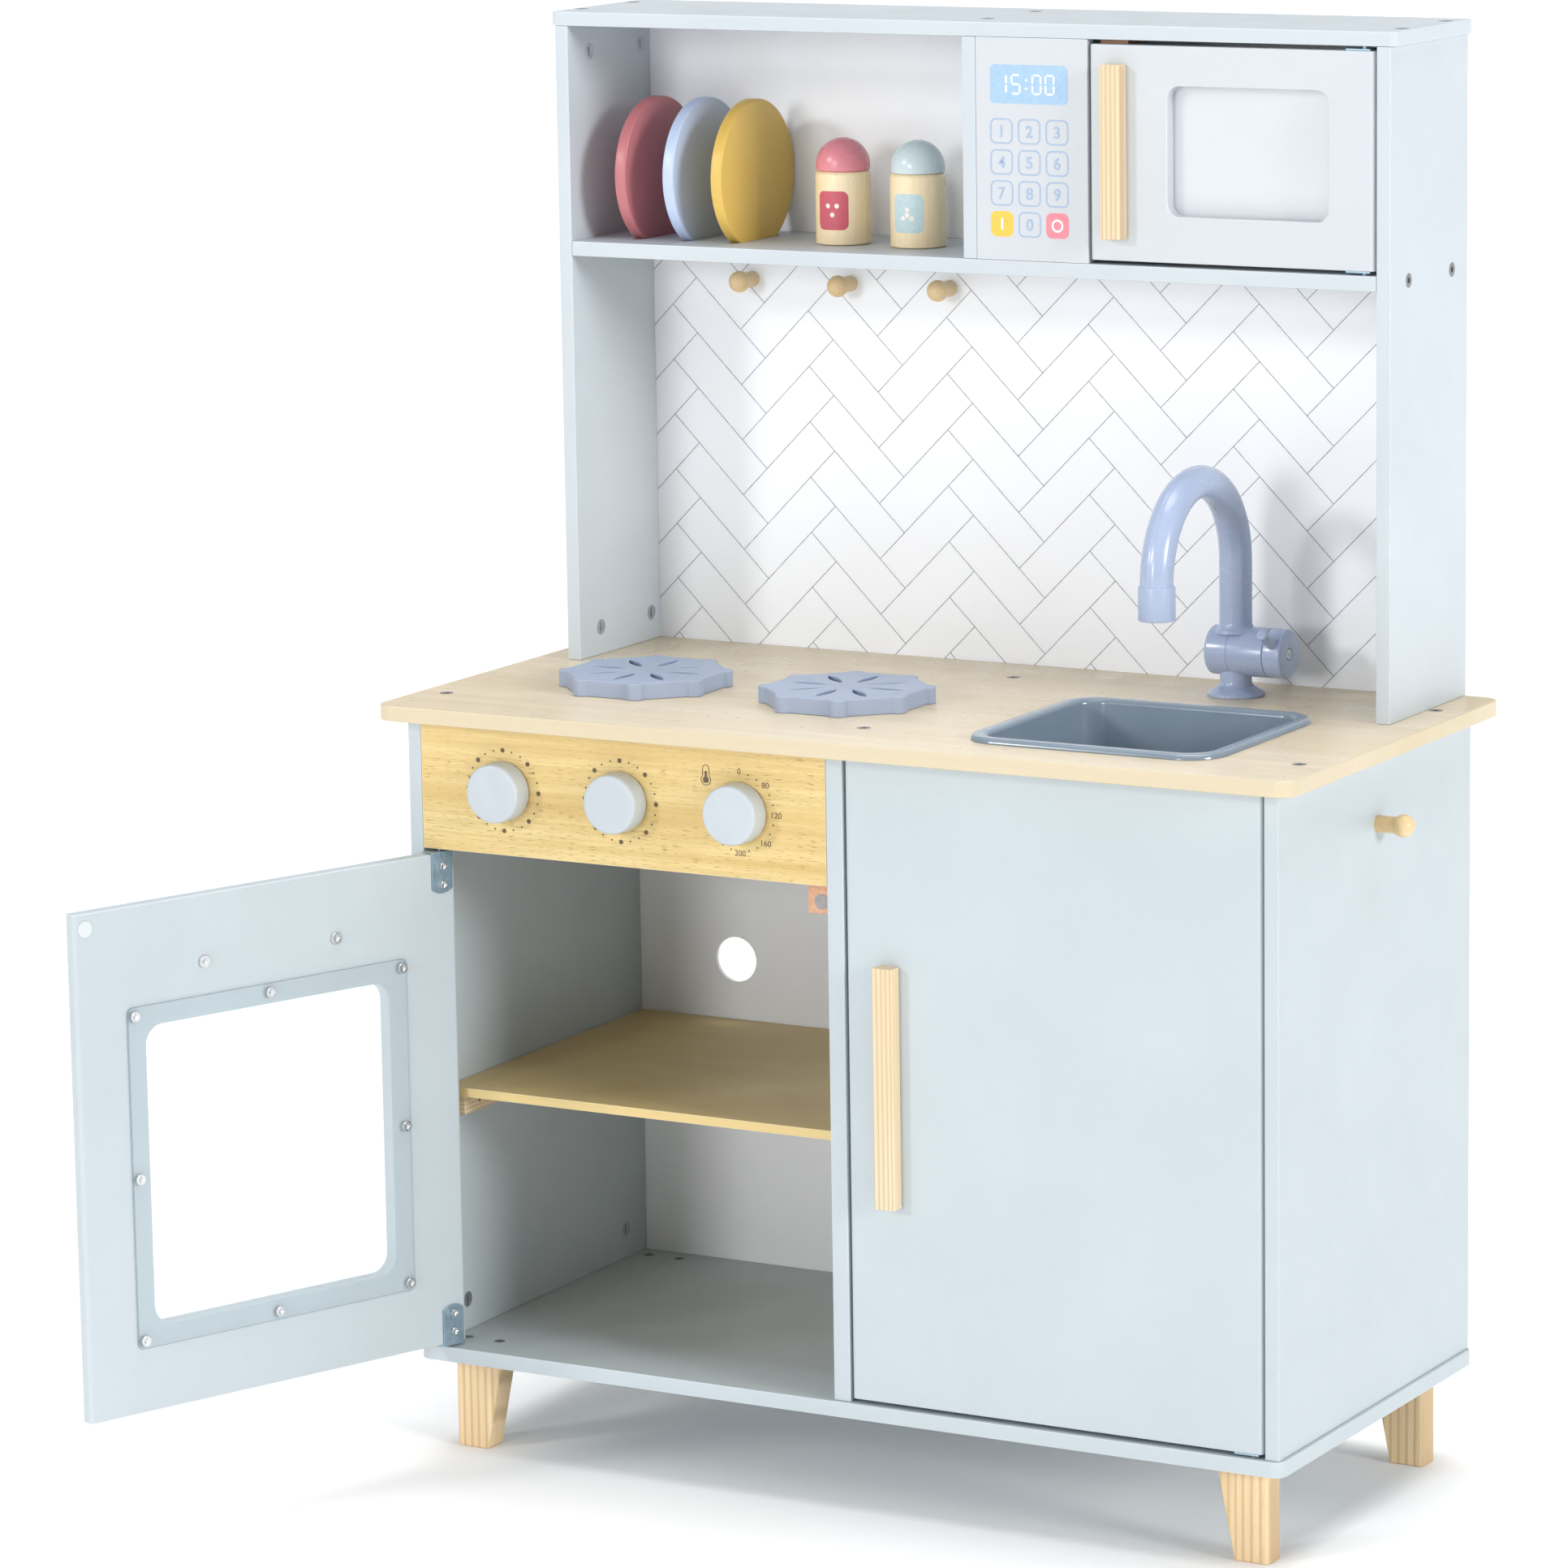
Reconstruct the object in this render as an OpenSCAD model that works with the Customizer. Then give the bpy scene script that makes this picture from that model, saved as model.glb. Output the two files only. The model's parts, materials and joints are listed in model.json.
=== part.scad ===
// Toy kitchen: a base cabinet with an oven and a cupboard, a worktop with sink, tap and two
// burners, and a hutch with a shelf, a microwave and play tableware.
// Units are millimetres. +X is right, +Y is back towards the wall and +Z is up. The origin is
// on the floor, under the middle of the base cabinet. The oven door is drawn standing open.

/* [Base cabinet] */
// Width of the cabinet over its side panels
cab_w = 600; // [560:1:640]
// Depth of the cabinet's side panels
cab_d = 280; // [260:1:320]
// Height of the feet
foot_h = 60; // [45:1:90]
// Thickness of the bottom panel
base_t = 10; // [9:0.5:12]
// Height of the side panels, between bottom panel and worktop
side_h = 404; // [390:1:450]
// Thickness of the side panels, doors and hutch sides
board_t = 9.5; // [9:0.5:10]
// Thickness of the middle divider
divider_t = 11.5; // [10:0.5:12]
// Height of the wooden control panel over the oven
control_h = 82; // [78:1:95]
// How far the back boards stand in from the rear edge of the sides
back_inset = 12.2; // [11:0.1:14]

/* [Worktop] */
// Width of the worktop
worktop_w = 630; // [625:1:660]
// Thickness of the worktop
worktop_t = 10; // [9:0.5:12]
// Front overhang of the worktop
worktop_front = 16; // [12:1:24]
// How far worktop and hutch reach back past the cabinet
wall_reach = 14; // [10:1:20]
// Radius of the worktop's corners
worktop_r = 12; // [6:1:20]

/* [Hutch] */
// Width of the hutch over its side panels
hutch_w = 581; // [570:1:590]
// Depth of the hutch
hutch_d = 115; // [115:1:130]
// Height of the hutch sides
hutch_h = 409; // [400:1:430]
// Height of the open bay under the hutch shelf
bay_h = 262.5; // [255:0.5:270]
// Thickness of the hutch top
hutch_top_t = 9; // [8:0.5:12]
// Width of the hutch top
hutch_top_w = 588; // [585:1:600]
// Width of the microwave's key panel
key_panel_w = 77; // [70:1:85]

/* [Doors] */
// Side gap around each door
door_gap = 1.3; // [1:0.1:1.6]
// Gap above and below the two lower doors
pivot_gap = 2.5; // [2.2:0.1:3]
// How far the oven door is drawn open, in degrees
oven_open = 111; // [0:1:118]
// Length of the long door handles
handle_l = 150; // [120:1:180]

/* [Sink, tap and burners] */
// Middle of the sink, from the middle of the kitchen
sink_x = 162; // [155:1:165]
// Middle of the sink, from the middle of the cabinet's depth
sink_y = -39.5; // [-42:0.5:-36]
// Width of the sink's rim
sink_w = 168; // [150:1:172]
// Depth, front to back, of the sink's rim
sink_d = 161; // [150:1:164]
// Depth of the bowl under the worktop
bowl_depth = 55; // [40:1:70]
// Diameter of the tap's tube
tube_dia = 20.5; // [18:0.5:22]
// Reach of the spout, from riser to spout
spout_reach = 111; // [100:1:115]
// Diameter of the burners over their bumps
burner_dia = 111; // [95:1:114]

/* [Tableware] */
// Diameter of the plates
plate_dia = 96; // [80:1:98]
// Thickness of the plates
plate_t = 8; // [6:0.5:9]
// Diameter of the shakers
shaker_dia = 35.4; // [30:0.2:38]

/* [Hidden] */

// Levels, from the floor up
base_z = foot_h + base_t;
deck_z = base_z + side_h;
worktop_z = deck_z + worktop_t;
hutch_z = worktop_z + hutch_h;
shelf_t = 9.5;
shelf_z = worktop_z + bay_h + shelf_t;
total_h = hutch_z + hutch_top_t;
control_z = deck_z - control_h;

// Planes, front to back
front_y = -cab_d / 2;
back_y = cab_d / 2;
wall_y = back_y + wall_reach;
hutch_y = wall_y - hutch_d;
back_t = 3;
lower_back_y = back_y - back_inset - back_t;
hutch_back_y = wall_y - back_inset - back_t + 3.5;

// Side faces
in_x = cab_w / 2 - board_t;
divider_x = 4.35;
div_left = divider_x - divider_t / 2;
div_right = divider_x + divider_t / 2;
hutch_in_x = hutch_w / 2 - board_t;
hutch_div_x = 6.85;
key_x0 = hutch_div_x + board_t / 2;
key_x1 = key_x0 + key_panel_w;

// Colours
mint = [0.83, 0.88, 0.9];
white = [0.95, 0.96, 0.98];
beech = [0.87, 0.77, 0.6];
pine = [0.91, 0.79, 0.58];
greyblue = [0.63, 0.69, 0.79];
steel = [0.75, 0.77, 0.8];
acrylic = [0.8, 0.88, 0.9, 0.35];

// Fasteners: shank and head radius, head height, barrel nut radius and length
bolt_r = 2.3;
bolt_hole_r = 2.5;
bolt_head_r = 4.2;
bolt_head_h = 2;
bolt_l = 32;
nut_r = 4.8;
nut_hole_r = 5;
nut_l = 7.5;
nut_in = 18;
cab_bolt_y = [front_y + 39, back_y - 43];
hutch_bolt_y = [hutch_y + 26.5, wall_y - 24];
cab_bolt_x = [-in_x - board_t / 2, divider_x, in_x + board_t / 2];
hutch_bolt_x = [-hutch_in_x - board_t / 2, hutch_in_x + board_t / 2];

// Door pivots: distance of the pin from the door's hinge edge, pin and hole radius
pin_in = 8;
pin_r = 1.9;
pin_hole_r = 1.95;
pin_y = board_t / 2;
pin_l = 6;
plate_gauge = 1.2;

oven_x0 = -in_x + door_gap;
oven_x1 = div_left - door_gap;
oven_z0 = base_z + pivot_gap;
oven_z1 = control_z - pivot_gap;
oven_pin_x = oven_x0 + pin_in;
cabinet_x0 = div_right + door_gap;
cabinet_x1 = in_x - door_gap;
cabinet_z1 = deck_z - pivot_gap;
cabinet_pin_x = cabinet_x1 - pin_in;
micro_x0 = key_x1 + door_gap;
micro_x1 = hutch_in_x - door_gap;
micro_z0 = shelf_z + pivot_gap;
micro_top_gap = 2.8;
micro_z1 = hutch_z - micro_top_gap;
micro_pin_x = micro_x1 - pin_in;

// Windows: width, height, corner radius, pane overlap and thickness
oven_win = [182, 187];
micro_win = [107, 79];
win_r = 12;
pane_t = 2;
oven_win_x = oven_pin_x + 137.5;
oven_win_z = base_z + 150;
micro_win_x = micro_x0 + 106;
micro_win_z = (micro_z0 + micro_z1) / 2 + 2;

// Door handles: width and how far they stand out
handle_w = 14;
handle_out = 10;
oven_handle_z = oven_z1 - 42;
short_handle_l = 106;

// Catches: block size, magnet radius, gap to the closed door
catch_size = 19;
magnet_r = 4.8;
catch_gap = 1;
disc_r = 5;
disc_out = 0.5;
catch_drop = 10;

// Screw heads
screw_head_r = 3.4;
handle_screw_head_r = 3.9;
hinge_screw_head_r = 2.5;
screw_head_h = 1.8;
screw_r = 1.4;

// Knobs: radius, length, spindle radius and pitch
knob_r = 19;
knob_l = 14;
knob_lift = 0.6;
spindle_r = 4;
spindle_hole_r = 4.05;
knob_pitch = 84.5;
knob_x = (-in_x + div_left) / 2;
knob_z = control_z + 41.2;

// Tap: place of the riser, level of the lever body, level where the arch begins
tap_x = sink_x - 2;
tap_y = 97;
tap_wall = 2.4;
body_r = 15.5;
body_z = worktop_z + 28;
body_x0 = tap_x - 15.4;
body_x1 = tap_x + 24.5;
cap_l = 12;
cap_gap = 0.3;
arch_z = worktop_z + 85;
spout_z = worktop_z + 63.5;
collar_h = 21;
collar_grow = 1.2;
spigot_r = 10;
lever_r = 3.5;
lever_tilt = 30;

// Plates and shakers
groove_l = 58;
groove_depth = 6.9;
groove_play = 0.4;
plate_y = hutch_back_y - plate_dia / 2 - 1.2;
plate_x = -213;
plate_pitch = 35.2;
rest_gap = 0.3;
shaker_y = hutch_back_y - 52;
shaker_x = [-110.4, -56.7];
shaker_body_h = 46.5;
shaker_spigot_r = 8;

// Pegs: stem and ball radius and overall length
peg_stem_r = 5.2;
peg_ball_r = 7;
peg_l = 24;
peg_tenon_r = 3;
peg_x = -134.8;
peg_pitch = 72.5;
peg_z = worktop_z + 240;
side_peg_z = base_z + 361;

// ---- Shared shapes ----

// A box from one corner to the opposite one
module box(lo, hi) {
    translate(lo) cube(hi - lo);
}

// A flat rounded rectangle centred on the origin
module rounded_rect(w, d, r) {
    square([w, d - 2 * r], center = true);
    square([w - 2 * r, d], center = true);
    for (sx = [-1, 1], sy = [-1, 1])
        translate([sx * (w / 2 - r), sy * (d / 2 - r)]) circle(r = r, $fn = 32);
}

// A rounded rectangle standing upright, cut from y0 through to y1
module upright_rect(w, h, r, y0, y1) {
    translate([0, y1, 0]) rotate([90, 0, 0]) linear_extrude(y1 - y0) rounded_rect(w, h, r);
}

// A cylinder along +X or +Y from the origin
module cyl_x(r, l) {
    rotate([0, 90, 0]) cylinder(r = r, h = l, $fn = 48);
}
module cyl_y(r, l) {
    rotate([-90, 0, 0]) cylinder(r = r, h = l, $fn = 48);
}

// A flush bolt with its head at the origin and its shank along +Z, and the hole that takes it
module bolt() {
    difference() {
        union() {
            cylinder(r = bolt_head_r, h = bolt_head_h, $fn = 32);
            cylinder(r = bolt_r, h = bolt_l, $fn = 32);
        }
        translate([0, 0, -0.1]) cylinder(r = 2, h = 1.5, $fn = 6);
    }
}
module bolt_hole() {
    cylinder(r = bolt_head_r + 0.2, h = bolt_head_h, $fn = 32);
    cylinder(r = bolt_hole_r, h = bolt_l + 1, $fn = 32);
}

// The plain hole through a barrel nut, in place of its thread
module bolt_bore() {
    translate([0, 0, bolt_head_h]) cylinder(r = bolt_r + 0.05, h = bolt_l, $fn = 32);
}

// A pan head screw with a cross slot: head towards +Y, shank towards -Y, seat at the origin
module pan_screw(l, head_r = screw_head_r) {
    difference() {
        union() {
            cyl_y(head_r, screw_head_h);
            translate([0, -l, 0]) cyl_y(screw_r, l);
        }
        for (a = [0, 90]) rotate([0, a, 0])
            translate([-1.8, screw_head_h - 0.8, -0.4]) cube([3.6, 1, 0.8]);
    }
}

// Places a child at each cross nut in a panel: +Z of the child points out of the inner face
module at_cabinet_nuts() {
    faces = [[-in_x, 90], [div_right, 90], [in_x, -90]];
    for (f = faces, y = cab_bolt_y, z = [base_z + nut_in + 2, deck_z - nut_in])
        translate([f[0], y, z]) rotate([0, f[1], 0]) children();
}
module at_hutch_nuts() {
    for (s = [-1, 1], y = hutch_bolt_y, z = [worktop_z + nut_in, hutch_z - nut_in])
        translate([s * hutch_in_x, y, z]) rotate([0, -s * 90, 0]) children();
}
module at_divider_nuts() {
    for (y = hutch_bolt_y) translate([hutch_div_x - board_t / 2, y, hutch_z - nut_in])
        rotate([0, -90, 0]) children();
}

// Places a child at each bolt head: +Z of the child points into the work
module at_worktop_bolts() {
    for (x = cab_bolt_x, y = cab_bolt_y)
        translate([x, y, worktop_z]) rotate([180, 0, 0]) children();
}
module at_base_bolts() {
    for (x = cab_bolt_x, y = cab_bolt_y) translate([x, y, foot_h]) children();
}
module at_top_bolts() {
    for (x = [hutch_bolt_x[0], hutch_div_x, hutch_bolt_x[1]], y = hutch_bolt_y)
        translate([x, y, total_h]) rotate([180, 0, 0]) children();
}
module at_hutch_base_bolts() {
    for (x = hutch_bolt_x, y = hutch_bolt_y) translate([x, y, deck_z]) children();
}
module at_shelf_bolts() {
    for (s = [-1, 1], y = hutch_bolt_y)
        translate([s * hutch_w / 2, y, shelf_z - shelf_t / 2]) rotate([0, -s * 90, 0]) children();
}

module nut() {
    difference() {
        translate([0, 0, -nut_l]) cylinder(r = nut_r, h = nut_l - 0.2, $fn = 32);
        translate([-3, -0.5, -1.2]) cube([6, 1, 2]);
    }
}
module nut_pocket() {
    translate([0, 0, -nut_l]) cylinder(r = nut_hole_r, h = nut_l + 1, $fn = 32);
}

// ---- Base cabinet ----

foot_top_w = 35;
foot_low_w = 23;
foot_t = 18;
foot_in = 14;
foot_y = [front_y + 24, back_y - 29];
foot_screw_x = [cab_w / 2 - 18.5, cab_w / 2 - 42];

module at_feet() {
    for (s = [-1, 1], y = foot_y) translate([s * (cab_w / 2 - foot_in), y, 0])
        mirror([s > 0 ? 1 : 0, 0, 0]) children();
}

// One foot: a board on edge, upright outside and sloping inside, with rounded corners
module foot() {
    slope = atan((foot_top_w - foot_low_w) / foot_h);
    difference() {
        translate([foot_top_w / 2, 0, 0]) linear_extrude(foot_h)
            rounded_rect(foot_top_w, foot_t, 3);
        translate([foot_low_w, -foot_t, 0]) rotate([0, slope, 0]) translate([0, 0, -20])
            cube([40, 2 * foot_t, foot_h + 60]);
    }
}

module feet() {
    color(pine) difference() {
        at_feet() foot();
        foot_screw_spots() translate([0, 0, -26]) cylinder(r = 1.6, h = 26, $fn = 24);
    }
}

module foot_screw_spots() {
    for (s = [-1, 1], x = foot_screw_x, y = foot_y) translate([s * x, y, base_z]) children();
}

module foot_screws() {
    color(steel) foot_screw_spots() difference() {
        union() {
            translate([0, 0, -2]) cylinder(r1 = 1.5, r2 = 3.6, h = 2, $fn = 32);
            translate([0, 0, -26]) cylinder(r = 1.5, h = 25, $fn = 24);
        }
        for (a = [0, 90]) rotate(a) translate([-2, -0.4, -1]) cube([4, 0.8, 2]);
    }
}

base_over = 2.5;
module bottom_panel() {
    color(mint) difference() {
        translate([0, 0, foot_h]) linear_extrude(base_t)
            rounded_rect(cab_w + 2 * base_over, cab_d + 2 * base_over, 8);
        at_base_bolts() bolt_hole();
        foot_screw_spots() {
            translate([0, 0, -2.05]) cylinder(r1 = 1.6, r2 = 3.8, h = 2.1, $fn = 32);
            translate([0, 0, -base_t - 1]) cylinder(r = 1.6, h = base_t, $fn = 24);
        }
        for (x = [oven_pin_x, cabinet_pin_x]) translate([x, front_y + pin_y, base_z - 7])
            cylinder(r = pin_hole_r, h = 8, $fn = 32);
    }
}

// A cabinet side: s is -1 for the left and 1 for the right
module side_panel(s) {
    color(mint) difference() {
        translate([s * (in_x + board_t / 2), 0, base_z + side_h / 2])
            cube([board_t, cab_d, side_h], center = true);
        box([-in_x - 4, lower_back_y, base_z - 1], [in_x + 4, lower_back_y + back_t, deck_z + 1]);
        at_cabinet_nuts() nut_pocket();
        at_worktop_bolts() bolt_hole();
        at_base_bolts() bolt_hole();
        if (s > 0) translate([in_x - 1, 0, side_peg_z]) cyl_x(peg_tenon_r, 20);
    }
}
module left_side_panel() { side_panel(-1); }
module right_side_panel() { side_panel(1); }

module divider_panel() {
    color(mint) difference() {
        box([div_left, front_y, base_z], [div_right, lower_back_y, deck_z]);
        at_cabinet_nuts() nut_pocket();
        at_worktop_bolts() bolt_hole();
        at_base_bolts() bolt_hole();
    }
}

module lower_back_panel() {
    vent_x = -218;
    vent_z = base_z + 205;
    color(white) difference() {
        box([-in_x - 4, lower_back_y, base_z], [in_x + 4, lower_back_y + back_t, deck_z]);
        translate([vent_x, lower_back_y - 1, vent_z]) cyl_y(15, back_t + 2);
    }
}

bowl_rim = 9.5;
bowl_w = sink_w - 2 * bowl_rim;
bowl_d = sink_d - 2 * bowl_rim;
sink_wall = 2.2;
rim_h = 3.6;

module worktop() {
    color(beech) difference() {
        translate([0, (front_y - worktop_front + wall_y) / 2, deck_z]) linear_extrude(worktop_t)
            rounded_rect(worktop_w, wall_y - front_y + worktop_front, worktop_r);
        translate([sink_x, sink_y, deck_z - 1]) linear_extrude(worktop_t + 2)
            rounded_rect(bowl_w + 2 * sink_wall + 0.6, bowl_d + 2 * sink_wall + 0.6, 18);
        at_worktop_bolts() bolt_hole();
        at_hutch_base_bolts() bolt_hole();
        translate([tap_x, tap_y, deck_z - 1]) cylinder(r = 2.3, h = worktop_t + 2, $fn = 32);
        translate([cabinet_pin_x, front_y + pin_y, deck_z - 1])
            cylinder(r = pin_hole_r, h = 8, $fn = 32);
        at_burners() translate([0, 0, -worktop_t - 1]) cylinder(r = 2, h = 20, $fn = 24);
    }
}

module control_panel() {
    color(beech) difference() {
        box([-in_x, front_y, control_z], [div_left, front_y + board_t, deck_z]);
        at_knobs() translate([0, -1, 0]) cyl_y(spindle_hole_r, board_t + 2);
        translate([oven_pin_x, front_y + pin_y, control_z - 1])
            cylinder(r = pin_hole_r, h = 8, $fn = 32);
    }
}

oven_shelf_z = base_z + 165;
oven_shelf_t = 6;
batten_w = 12;
shelf_front = front_y + 18;

module oven_shelf() {
    color(beech) box([-in_x + 0.3, shelf_front, oven_shelf_z - oven_shelf_t],
        [div_left - 0.3, lower_back_y - 0.5, oven_shelf_z]);
}
module shelf_battens() {
    top = oven_shelf_z - oven_shelf_t;
    color(pine) difference() {
        for (x = [-in_x, div_left - batten_w]) box([x, shelf_front + 4, top - 13],
            [x + batten_w, lower_back_y - 8, top]);
        for (y = [shelf_front + 22, back_y - 60]) translate([-in_x - 1, y, top - 6])
            cyl_x(1.8, cab_w / 2);
    }
}

// Catch blocks behind the free edge of each door, and their magnets
module at_catches() {
    translate([div_left - catch_size / 2, front_y + board_t + catch_gap, control_z - catch_drop])
        children();
    translate([div_right + catch_size / 2, front_y + board_t + catch_gap, deck_z - catch_drop])
        children();
    translate([micro_x0 + 12, hutch_y + board_t + catch_gap, hutch_z - catch_drop]) children();
}
module catch_blocks() {
    color(pine) difference() {
        at_catches() box([-catch_size / 2, 0, -catch_size / 2], [catch_size / 2, 18, catch_drop]);
        at_catches() translate([0, -0.5, -2]) cyl_y(magnet_r, 4.5);
    }
}
module catch_magnets() {
    color(steel) at_catches() translate([0, -0.2, -2]) cyl_y(magnet_r, 4.2);
}

// ---- Fasteners ----

module panel_bolts() {
    color(steel) {
        at_worktop_bolts() bolt();
        at_base_bolts() bolt();
        at_top_bolts() bolt();
        at_hutch_base_bolts() bolt();
        at_shelf_bolts() bolt();
    }
}
module barrel_nuts() {
    color(steel) difference() {
        union() {
            at_cabinet_nuts() nut();
            at_hutch_nuts() nut();
            at_divider_nuts() nut();
        }
        at_worktop_bolts() bolt_bore();
        at_base_bolts() bolt_bore();
        at_top_bolts() bolt_bore();
        at_hutch_base_bolts() bolt_bore();
        at_shelf_bolts() bolt_bore();
    }
}

// ---- Doors ----

// A door slab with rounded upright edges, drawn closed with its front at y = 0
module door_slab(x0, x1, z0, z1) {
    translate([(x0 + x1) / 2, board_t / 2, z0]) linear_extrude(z1 - z0)
        rounded_rect(x1 - x0, board_t, 3);
}

// A pivot hinge plate for a top corner: one leg on the inner face, one over the edge, and a pin.
// The pin's axis is at x = 0, the door's top edge at z = 0; s turns the plate for a right hinge.
module hinge_plate(s, gap) {
    near = 5;
    far = 11;
    drop = 25.5;
    mirror([s > 0 ? 1 : 0, 0, 0]) {
        difference() {
            translate([0, board_t, 0]) upright_plate(near, far, drop);
            for (z = [-8, -20]) translate([3, board_t - 1, z]) cyl_y(screw_r + 0.2, 4);
        }
        box([-near, 0.4, 0], [far, board_t + plate_gauge, plate_gauge]);
        translate([0, pin_y, 0]) cylinder(r = pin_r, h = gap + pin_l, $fn = 32);
    }
}
module upright_plate(near, far, drop) {
    w = near + far;
    translate([(far - near) / 2, 0, 0]) intersection() {
        box([-w / 2, 0, -drop], [w / 2, plate_gauge, plate_gauge]);
        translate([0, 0, -drop + w * 0.75]) rotate([90, 0, 0]) union() {
            cylinder(r = w * 0.75, h = 10, center = true, $fn = 48);
            translate([-w, 0, -5]) cube([2 * w, drop, 10]);
        }
    }
}

// Both hinge plates of a door and the screws in them
module hinge_pair(pin_x, z0, z1, s, gap0, gap1) {
    translate([pin_x, 0, z1]) hinge_plate(s, gap1);
    translate([pin_x, 0, z0]) mirror([0, 0, 1]) hinge_plate(s, gap0);
}
module hinge_screws(pin_x, z0, z1, s) {
    for (z = [z0 + 8, z0 + 20, z1 - 8, z1 - 20])
        translate([pin_x - s * 3, board_t + plate_gauge, z]) pan_screw(7, hinge_screw_head_r);
}
module hinge_screw_holes(pin_x, z0, z1, s) {
    for (z = [z0 + 8, z0 + 20, z1 - 8, z1 - 20])
        translate([pin_x - s * 3, board_t - 6, z]) cyl_y(screw_r, 10);
}

// The catch disc and its recess, seat on the inner face
module disc(x, z) { translate([x, board_t - 1, z]) cyl_y(disc_r, 1 + disc_out); }
module disc_recess(x, z) { translate([x, board_t - 1, z]) cyl_y(disc_r + 0.05, 3); }

// A door handle: a pine stick with eased front edges, centred on the origin along Z
module stick(l) {
    translate([0, -handle_out / 2, -l / 2]) linear_extrude(l)
        rounded_rect(handle_w, handle_out, 1.2);
}

// The screws around a window pane, w and h apart
module ring_screws(w, h, mid_w, mid_h) {
    for (sx = [-1, 1], sz = [-1, 1]) translate([sx * w / 2, 0, sz * h / 2]) children();
    if (mid_w) for (sz = [-1, 1]) translate([0, 0, sz * h / 2]) children();
    if (mid_h) for (sx = [-1, 1]) translate([sx * w / 2, 0, 0]) children();
}

// Closed places of the three doors
module oven_place() {
    translate([oven_pin_x, front_y + pin_y, 0]) rotate(-oven_open)
        translate([-oven_pin_x, -pin_y, 0]) children();
}
module cabinet_place() { translate([0, front_y, 0]) children(); }
module micro_place() { translate([0, hutch_y, 0]) children(); }

oven_pane = [210, 214];
oven_screws = [201, 203];
micro_pane = [127, 99];
micro_screws = [118, 90];
oven_disc = [div_left - catch_size / 2, control_z - catch_drop - 2];
cabinet_disc = [div_right + catch_size / 2, deck_z - catch_drop - 2];
micro_disc = [micro_x0 + 12, hutch_z - catch_drop - 2];
oven_handle_x = (oven_x0 + oven_x1) / 2;
cabinet_handle_x = cabinet_x0 + 29.5;
cabinet_handle_z = (oven_z0 + cabinet_z1) / 2;
micro_handle_x = micro_x0 + 18.3;
micro_handle_z = (micro_z0 + micro_z1) / 2 + 1;

module handle_screws(x, z, pitch, flat) {
    for (s = [-1, 1]) translate([x + (flat ? s * pitch / 2 : 0), board_t,
        z + (flat ? 0 : s * pitch / 2)]) children();
}

module oven_door() {
    color(mint) oven_place() difference() {
        door_slab(oven_x0, oven_x1, oven_z0, oven_z1);
        translate([oven_win_x, 0, oven_win_z])
            upright_rect(oven_win[0], oven_win[1], win_r, -1, board_t + 1);
        translate([oven_win_x, board_t - 6, oven_win_z])
            ring_screws(oven_screws[0], oven_screws[1], true, true) cyl_y(screw_r, 8);
        hinge_screw_holes(oven_pin_x, oven_z0, oven_z1, -1);
        handle_screws(oven_handle_x, oven_handle_z, 99, true)
            translate([0, -board_t - 1, 0]) cyl_y(screw_r, board_t + 2);
        disc_recess(oven_disc[0], oven_disc[1]);
    }
}
module oven_door_pane() {
    color(acrylic) oven_place() difference() {
        translate([oven_win_x, 0, oven_win_z])
            upright_rect(oven_pane[0], oven_pane[1], 4, board_t, board_t + pane_t);
        translate([oven_win_x, board_t - 1, oven_win_z])
            ring_screws(oven_screws[0], oven_screws[1], true, true) cyl_y(screw_r + 0.2, 5);
    }
}
module oven_door_handle() {
    color(pine) oven_place() difference() {
        translate([oven_handle_x, 0, oven_handle_z]) rotate([0, 90, 0]) stick(handle_l);
        handle_screws(oven_handle_x, oven_handle_z, 99, true)
            translate([0, -board_t - 6, 0]) cyl_y(screw_r, 8);
    }
}
module oven_catch_disc() {
    color(white) oven_place() disc(oven_disc[0], oven_disc[1]);
}
module oven_hinge_plates() {
    color(steel) oven_place()
        hinge_pair(oven_pin_x, oven_z0, oven_z1, -1, pivot_gap, pivot_gap);
}
module oven_door_screws() {
    color(steel) oven_place() {
        hinge_screws(oven_pin_x, oven_z0, oven_z1, -1);
        translate([oven_win_x, board_t + pane_t, oven_win_z])
            ring_screws(oven_screws[0], oven_screws[1], true, true) pan_screw(7);
        handle_screws(oven_handle_x, oven_handle_z, 99, true)
            pan_screw(board_t + 6, handle_screw_head_r);
    }
}

module cabinet_door() {
    color(mint) cabinet_place() difference() {
        door_slab(cabinet_x0, cabinet_x1, oven_z0, cabinet_z1);
        hinge_screw_holes(cabinet_pin_x, oven_z0, cabinet_z1, 1);
        handle_screws(cabinet_handle_x, cabinet_handle_z, 99, false)
            translate([0, -board_t - 1, 0]) cyl_y(screw_r, board_t + 2);
        disc_recess(cabinet_disc[0], cabinet_disc[1]);
    }
}
module cabinet_door_handle() {
    color(pine) cabinet_place() difference() {
        translate([cabinet_handle_x, 0, cabinet_handle_z]) stick(handle_l);
        handle_screws(cabinet_handle_x, cabinet_handle_z, 99, false)
            translate([0, -board_t - 6, 0]) cyl_y(screw_r, 8);
    }
}
module cabinet_catch_disc() {
    color(white) cabinet_place() disc(cabinet_disc[0], cabinet_disc[1]);
}
module cabinet_hinge_plates() {
    color(steel) cabinet_place()
        hinge_pair(cabinet_pin_x, oven_z0, cabinet_z1, 1, pivot_gap, pivot_gap);
}
module cabinet_door_screws() {
    color(steel) cabinet_place() {
        hinge_screws(cabinet_pin_x, oven_z0, cabinet_z1, 1);
        handle_screws(cabinet_handle_x, cabinet_handle_z, 99, false)
            pan_screw(board_t + 6, handle_screw_head_r);
    }
}

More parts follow.
